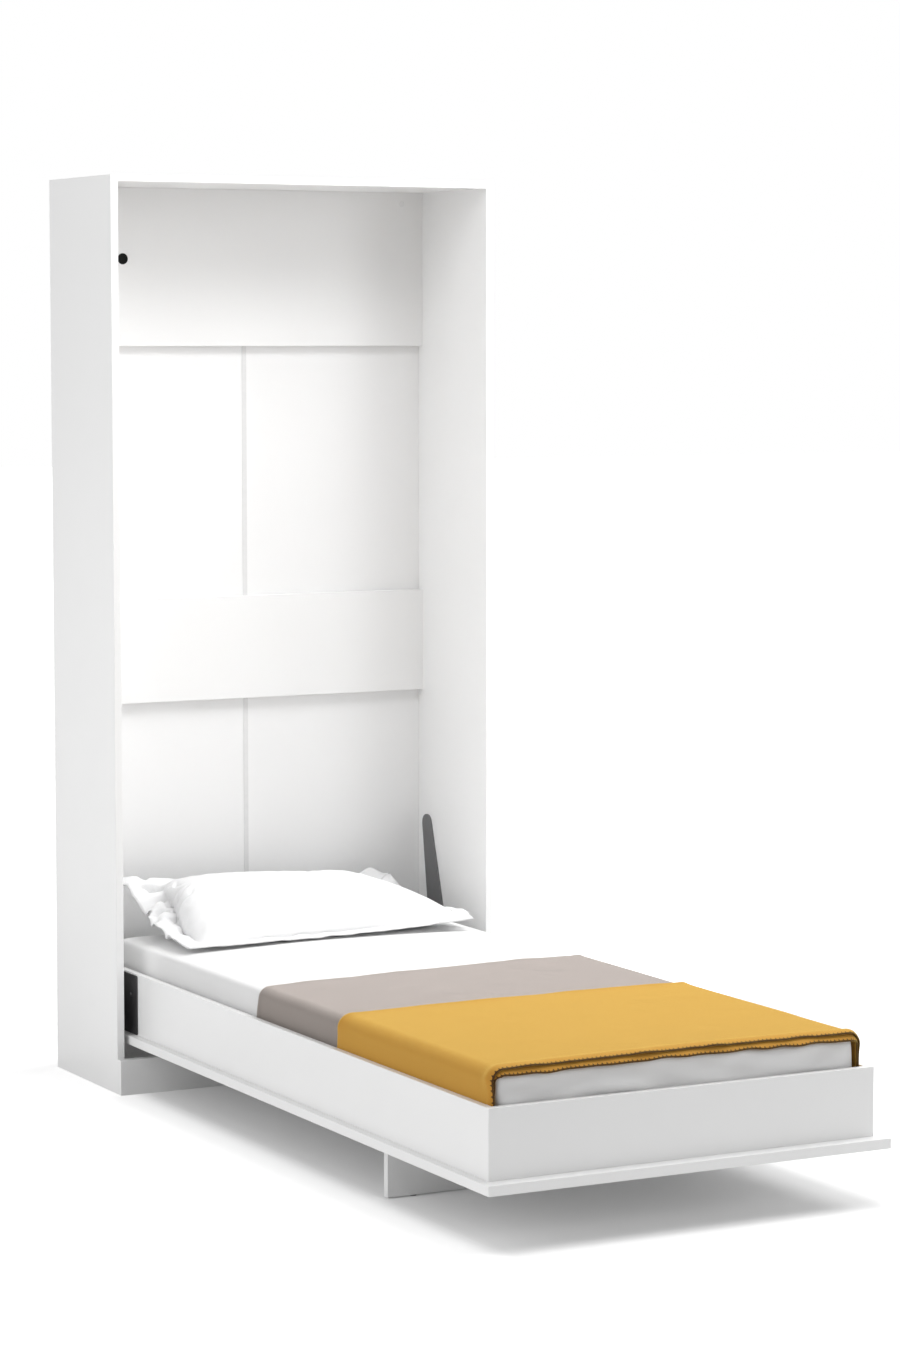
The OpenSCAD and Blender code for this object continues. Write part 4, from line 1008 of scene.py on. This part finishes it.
class WALLBED_OT_pillow(Operator):
    """Make the pillow with its flat flange"""

    bl_idname = "wallbed.pillow"
    bl_label = "Pillow"

    # Heights above the mattress in mm at shares of the foot, head, left and right edges, for a
    # crown of READ_HEIGHT
    SEAM = (([0, 0.5, 0.8, 1], [11, 13, 20, 34]), ([0, 0.2, 0.5, 0.8, 1], [96, 96, 86, 66, 48]),
            ([0, 0.3, 0.6, 1], [11, 26, 54, 96]), ([0, 0.5, 1], [34, 33, 48]))
    RIM = (([0, 0.4, 0.7, 0.9, 1], [9, 10, 15, 21, 29]),
           ([0, 0.15, 0.5, 0.75, 0.88, 1], [119, 113, 90, 76, 95, 84]),
           ([0, 0.3, 0.55, 0.69, 0.85, 1], [9, 22, 42, 50, 82, 119]),
           ([0, 0.12, 0.5, 0.8, 0.92, 1], [29, 27, 24, 34, 58, 84]))
    READ_HEIGHT = 0.135

    # How much wider and deeper the flat sheets are than the finished pillow
    SPARE_WIDTH = 1.104
    SPARE_DEPTH = 1.184

    def execute(self, context):
        sizes = context.scene.wallbed_sizes
        cell = 9 * MM
        flat_width = sizes.pillow_width * self.SPARE_WIDTH
        flat_depth = sizes.pillow_depth * self.SPARE_DEPTH
        columns = int(round(flat_width / cell)) + 1
        rows = int(round(flat_depth / cell)) + 1
        border = int(round(sizes.flange_width / cell))
        x, y = np.meshgrid(np.linspace(-0.5, 0.5, columns) * flat_width,
                           np.linspace(-0.5, 0.5, rows) * flat_depth)
        heights = [sheet[..., 2] for sheet in self.inflated(x, y, border)]
        wrinkles = [finer(height - softened(height, 12)) for height in heights]
        top, bottom = self.placed(wrinkles, sizes, 2 * border)
        piece = self.closed(top, bottom, finer(np.stack([x, y], -1)))
        cloth = cloth_material(
            "pillow_cotton", context.scene.wallbed_colours.pillow, thread=0.7 * MM,
            depth=0.1 * MM, blotch=0.01, fuzz=0.15, slub=0.012)
        cover(piece, cloth, "bed", "pillow_cloth", "pillow")
        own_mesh(piece)
        return {"FINISHED"}

    def shares(self, rows, columns, border):
        """How far each column and row is from the middle, as a share of the way to the seam."""
        across = (np.arange(columns) - border) / (columns - 1 - 2 * border) * 2 - 1
        down = (np.arange(rows) - border) / (rows - 1 - 2 * border) * 2 - 1
        return across, down

    def inflated(self, x, y, border):
        """Two flat sheets joined at the seam, blown up by Cloth. The flange is one sheet
        outside the seam."""
        rows, columns = x.shape
        inner = np.zeros((rows, columns), bool)
        inner[border + 1:-border - 1, border + 1:-border - 1] = True
        body = np.zeros((rows, columns), bool)
        body[border:-border, border:-border] = True
        across, down = self.shares(rows, columns, border)
        wide = np.clip(1 - np.abs(across[None]) ** 3.2, 0, 1)
        dome = wide * np.clip(1 - np.abs(down[:, None]) ** 2.6, 0, 1)
        height = np.where(body, dome, 0.0) ** 0.6
        start = 6 * MM * height
        top = np.stack([x, y, start + 1.2 * MM * ripple(x, y, 0.05, 42)], -1)
        bottom = np.stack([x, y, -start], -1)
        count = rows * columns
        under_index = np.arange(count).reshape(rows, columns)
        under_index[inner] = count + np.arange(inner.sum())
        points = np.concatenate([top.reshape(-1, 3), bottom[inner]])
        upper = grid_quads(rows, columns)
        lower = under_index.ravel()[upper]
        in_body = body.ravel()[upper].all(1)
        quads = np.concatenate([upper, lower[in_body][:, ::-1]])
        piece = make_piece("pillow_start", points, quads)
        group = piece.vertex_groups.new(name="stuffed")
        stuffed = np.flatnonzero(body.ravel()).tolist() + list(range(count, len(points)))
        group.add(stuffed, 1.0, "REPLACE")
        blown = simulated(piece, frames=34, pressure=5.0, stiffness=9.0, bending=0.25,
                          group="stuffed", volume=0.027)
        bpy.data.objects.remove(piece)
        top = blown[:count].reshape(rows, columns, 3)
        bottom = top.copy()
        bottom[inner] = blown[count:]
        return top, bottom

    def placed(self, wrinkles, sizes, border):
        """Puts the blown-up pillow on the mattress. The seam and the rim each stand at heights
        read from the photograph, and the patch inside an edge loop is a Coons patch of its four
        edges. The body rises from the seam's patch by
        height * (1 - |a|^9)^(1/2) * (1 - |g|^n)^0.62, with a and g the shares of the half width
        and half depth; to the right it falls in a straight slope. The simulated wrinkles are
        what is left of the blown-up sheets when their smoothed form is taken off. Each layer is
        smoothed a little, and rounds off above the mattress instead of going into it."""
        rows, columns = wrinkles[0].shape
        across, down = self.shares(rows, columns, border)
        a, g = np.meshgrid(across, down)
        beyond_x = np.clip((np.abs(a) - 1) / (across[-1] - 1), 0, 1)
        beyond_y = np.clip((np.abs(g) - 1) / (down[-1] - 1), 0, 1)
        beyond = np.maximum(beyond_x, beyond_y)
        x, y = self.plan(a, g, beyond_x, beyond_y, sizes)
        tall = sizes.pillow_height / self.READ_HEIGHT * MM
        a_in, g_in = np.clip(a, -1, 1), np.clip(g, -1, 1)
        seam = edge_patch((a_in + 1) / 2, (g_in + 1) / 2, *self.SEAM) * tall
        rim = edge_patch((a / across[-1] + 1) / 2, (g / down[-1] + 1) / 2, *self.RIM) * tall
        # The slope starts at 0.60 of the half width, and turns into it over 0.05
        slope = 1 - 1.30 * 0.05 * np.log1p(np.exp((a_in - 0.60) / 0.05))
        wide = np.where(a < 0, 1 - 0.04 * a_in ** 2, slope) * (1 - np.abs(a_in) ** 9) ** 0.5
        deep = (1 - np.abs(g_in) ** np.where(g < 0, 2.3, 3.2)) ** 0.62
        corner = 1 - 0.35 * np.abs(a_in) ** 3 * g_in ** 2
        lower = 1 - 0.27 * ease(g_in, 0.0, 0.85) * (1 - 0.5 * ease(a_in, 0.2, 0.6))
        body = 80 * tall * wide * deep * corner * lower
        inside = 1 - ease(np.maximum(np.abs(a), np.abs(g)), 0.9, 1.0)
        upper = seam + body + wrinkles[0] * inside
        under = seam - 0.8 * body + wrinkles[1] * inside
        flange = seam + (rim - seam) * beyond ** 1.3
        z = np.where(beyond > 0, flange, np.stack([upper, under]))
        z = z + self.creases(x, y, a, g, beyond)
        z = np.stack([softened(sheet, 2) for sheet in z])
        least, soft = np.array([4.5, 1.5])[:, None, None] * MM, 10 * MM
        rounded = least + soft * np.exp((np.minimum(z, least + soft) - least - soft) / soft)
        z = np.where(z < least + soft, rounded, z)
        y = y + (PILLOW_LOW.y + PILLOW_HIGH.y) / 2
        return [np.stack([x, y, layer + MATTRESS_TOP], -1) for layer in z]

    def plan(self, a, g, beyond_x, beyond_y, sizes):
        """Where each point of the pillow stands seen from above, about its middle. The seam
        draws in at the head, the left rim has a dent where it folds, the right rim a broad
        hollow, and the two right corners are rounded."""
        half_width, half_depth = sizes.pillow_width / 2, sizes.pillow_depth / 2
        a_in, g_in = np.clip(a, -1, 1), np.clip(g, -1, 1)
        left = 0.861 - 0.111 * ease(g_in, -0.95, 0.6)
        right = 0.891 - 0.170 * ease(g_in, -0.9, 0.9)
        seam = a_in * np.where(a < 0, left, right) * half_width
        along = g / np.abs(g).max()
        dent = 0.024 * bell(along - 0.36, 0.13)
        left_rim = dent - half_width * (1.0 - 0.03 * ease(along, -0.2, 1.0))
        right_rim = half_width * 0.995 - 0.024 * bell(along - 0.60, 0.22)
        right_rim = right_rim - 0.010 * ease(along, 0.7, 1.0)
        rim = np.where(a < 0, left_rim, right_rim)
        bow = 1 + 0.05 * (1 - g_in ** 2) * np.abs(a_in) ** 3
        spread = half_width * 0.987 - 0.010 * (g > 0) * ease(a_in, 0.4, 1.0)
        body_x = seam * bow + (a_in * spread - seam) * beyond_y * 0.9
        flange_x = seam + (rim - seam) * beyond_x
        flange_x = flange_x + (np.sign(a) * spread - flange_x) * beyond_y * 0.8
        x = np.where(beyond_x > 0, flange_x, body_x)
        y = half_depth * (g_in * 0.819 + np.sign(g) * 0.181 * beyond_y)
        y = y * (1 + 0.03 * (1 - a_in ** 2) * np.abs(g_in) ** 3 * (beyond_y == 0))
        rounding = 0.020 * (beyond_x * beyond_y) ** 0.7 * (a > 0)
        return x - rounding, y - np.sign(g) * rounding

    def creases(self, x, y, a, g, beyond):
        """Pleats that fan out over the left flange from the body's corner, each a narrow valley
        between broad ridges, scallops along the foot edge, a ruffle round the right corners, a
        rounded lobe at the right corner of the foot, and small waves in the whole flange."""
        # The way out from the point at the body's left that the pleats fan out from
        out_x, out_y = -0.262 - x, y - 0.045
        angle, far = np.arctan2(out_y, out_x), np.hypot(out_x, out_y)
        turn = angle + 0.22 * np.sin(far * 52) + 0.10 * np.sin(far * 110 + 1.0)
        valley = bell(np.sin(turn * 4.6 + 0.7), 0.34)
        small = bell(np.sin(turn * 10.5 + 0.2), 0.5)
        fan = 0.55 - 1.9 * valley - 0.5 * small * (1 - beyond)
        fan = fan * (1 - 0.45 * beyond ** 2) * ease(far, 0.01, 0.045) * ease(-x, 0.272, 0.305)
        fan = fan * ease(angle, -1.2, -0.7) * (1 - ease(angle, 1.2, 1.6))
        front = (g < -1) * (1 - ease(x, -0.12, 0.12))
        scallop = np.cos(x / 0.0125 + 1.0 + 0.8 * np.sin(x * 19)) * front
        ruffle = np.cos(y / 0.013 + x / 0.015) * ((a > 1) | ((g > 1) & (a > 0.6)))
        wave = ripple(x, y, 0.06, 51) * ease(beyond, 0.0, 0.6) * np.where(g < -1, 0.5, 1.2)
        arch = 4 * beyond * (1 - beyond)
        lobe = bell(np.hypot(x - 0.350, y + 0.185), 0.055)
        edge = 8 * MM * ruffle * beyond * (1 - 0.85 * lobe) + 16 * MM * lobe * arch
        return 18 * MM * fan + 6 * MM * scallop * arch + edge + 2.5 * MM * wave

    def closed(self, top, bottom, uv):
        """Top and bottom sheets moved apart by the case's thickness and joined round the rim."""
        half = 1.1 * MM
        up, down = (normals_of(layer) for layer in (top, bottom))
        top = top + up * np.sign(up[..., 2].mean()) * half
        bottom = bottom - down * np.sign(down[..., 2].mean()) * half
        piece = two_layers("pillow_in_case", top, bottom, uv)
        recalculate(piece)
        return piece


class WALLBED_OT_stage(Operator):
    """Make the pale floor, the lights and the camera"""

    bl_idname = "wallbed.stage"
    bl_label = "Studio"

    def execute(self, context):
        self.camera(context)
        self.floor()
        self.world(context)
        self.lamp(context, "over_light", (0.9, -1.3, 3.2), (0.0, -1.1, 0.4), 1.5, 58.0)
        self.lamp(context, "left_light", (-6.0, -1.5, 2.4), (0.0, -1.2, 0.8), 3.5, 91.0)
        self.lamp(context, "high_light", (-3.5, -2.5, 3.8), (0.0, -1.2, 0.4), 2.0, 38.0)
        self.lamp(context, "right_light", (3.5, -2.0, 3.5), (0.0, -1.0, 0.4), 2.0, 105.0)
        self.lamp(context, "front_light", (4.0, -7.0, 3.0), (0.0, -0.5, 1.0), 3.0, 74.0)
        context.scene.view_settings.view_transform = "Standard"
        return {"FINISHED"}

    def camera(self, context):
        """A camera at the photograph's viewing place, level, looking down a little."""
        data = bpy.data.cameras.new("camera")
        data.lens = 100.35
        data.sensor_width = 36.0
        data.clip_end = 100.0
        camera = bpy.data.objects.new("camera", data)
        camera.location = (-4.0716, -8.8620, 1.8712)
        camera.rotation_euler = (math.radians(90 - 5.208), 0.0, math.radians(-27.845))
        context.scene.collection.objects.link(camera)
        context.scene.camera = camera

    def floor(self):
        """A wide flat floor, white to the camera where no shadow falls on it. The camera sees a
        glow on it that grows with the distance from the bed's outline, max(|x| - half width,
        |y - middle| - half length), as the lamps' light fades. More glow is added to the left
        of the bed, past its foot and behind the cabinet: painted light that makes the bed's and
        the cabinet's cast shadows fainter there."""
        half = 40.0
        corners = [(-half, -half, 0.0), (half, -half, 0.0), (half, half, 0.0), (-half, half, 0.0)]
        piece = make_piece("floor", corners, [[0, 1, 2, 3]], smooth=False)
        nodes = new_material("pale_floor")
        inner = nodes.tree.nodes
        inner.remove(inner["Principled BSDF"])
        half_width, half_length = 0.5, 1.15
        place = nodes.add("ShaderNodeSeparateXYZ", Vector=nodes.coordinates()).outputs
        beside = nodes.math("SUBTRACT", nodes.math("ABSOLUTE", place["X"]), half_width)
        ahead = nodes.math("ABSOLUTE", nodes.math("ADD", place["Y"], half_length))
        outside = nodes.math("MAXIMUM", beside, nodes.math("SUBTRACT", ahead, half_length))
        leftwards = nodes.math("MULTIPLY", place["X"], -1.0)
        footwards = nodes.math("MULTIPLY", place["Y"], -1.0)
        spread = nodes.stepped(outside, 0.0, 0.3, 0.09, 0.21)
        for way, low, high, most in (
            (outside, 0.7, 4.0, 0.62),
            # These three add painted light that fades the cast shadows to the left, past the foot
            # and behind the cabinet
            (leftwards, 0.43, 0.515, 0.38),
            (footwards, 2.2, 2.3, 0.13),
            (place["Y"], -0.02, 0.2, 0.6),
        ):
            spread = nodes.math("ADD", spread, nodes.stepped(way, low, high, 0.0, most))
        diffuse = nodes.add("ShaderNodeBsdfDiffuse", Color=(0.80, 0.80, 0.80, 1.0))
        strength = nodes.math("MULTIPLY", nodes.shown(), spread)
        glow = nodes.add("ShaderNodeEmission", Strength=strength)
        both = nodes.add("ShaderNodeAddShader")
        for socket, shader in zip(both.inputs, (diffuse, glow)):
            nodes.feed(socket, shader.outputs[0])
        nodes.fill(inner["Material Output"], Surface=both.outputs[0])
        piece.data.materials.append(nodes.owner)

    def world(self, context):
        """Even dim light from all round, and white where the camera sees past the floor."""
        dim, white = 0.34, 1.0
        world = bpy.data.worlds.new("studio")
        context.scene.world = world
        nodes = Nodes(world)
        nodes.fill(nodes.tree.nodes["Background"], Color=(1.0, 1.0, 1.0, 1.0),
                   Strength=nodes.ranged(nodes.shown(), dim, white))

    def lamp(self, context, name, place, target, size, power):
        """A square soft light at a place, turned to a target."""
        data = bpy.data.lights.new(name, "AREA")
        data.shape = "SQUARE"
        data.size = size
        data.energy = power
        light = bpy.data.objects.new(name, data)
        light.location = place
        x, y, z = np.array(target) - np.array(place)
        tilt = math.atan2(math.hypot(x, y), -z)
        light.rotation_euler = (tilt, 0.0, math.atan2(y, x) - math.pi / 2)
        context.scene.collection.objects.link(light)


class WALLBED_PT_panel(Panel):
    """Lists the wall bed's pieces, sizes and colours"""

    bl_idname = "WALLBED_PT_panel"
    bl_label = "Wall Bed"
    bl_space_type = "VIEW_3D"
    bl_region_type = "UI"
    bl_category = "Wall Bed"

    def draw(self, context):
        layout = self.layout
        for group in (context.scene.wallbed_sizes, context.scene.wallbed_colours):
            box = layout.box()
            for name in group.__annotations__:
                box.prop(group, name)
        for operator in OPERATORS:
            layout.operator(operator.bl_idname)


OPERATORS = (
    WALLBED_OT_stage,
    WALLBED_OT_boards,
    WALLBED_OT_metalwork,
    WALLBED_OT_small_parts,
    WALLBED_OT_mattress,
    WALLBED_OT_throw,
    WALLBED_OT_blanket,
    WALLBED_OT_pillow,
)
CLASSES = (WallBedSizes, WallBedColours, *OPERATORS, WALLBED_PT_panel)


def register():
    for each in CLASSES:
        bpy.utils.register_class(each)
    bpy.types.Scene.wallbed_sizes = PointerProperty(type=WallBedSizes)
    bpy.types.Scene.wallbed_colours = PointerProperty(type=WallBedColours)


def unregister():
    del bpy.types.Scene.wallbed_colours
    del bpy.types.Scene.wallbed_sizes
    for each in reversed(CLASSES):
        bpy.utils.unregister_class(each)


def main():
    """Makes everything in order."""
    register()
    bpy.ops.wallbed.stage()
    bpy.ops.wallbed.boards()
    bpy.ops.wallbed.metalwork()
    bpy.ops.wallbed.small_parts()
    bpy.ops.wallbed.mattress()
    bpy.ops.wallbed.throw()
    bpy.ops.wallbed.blanket()
    bpy.ops.wallbed.pillow()


if __name__ == "__main__":
    main()
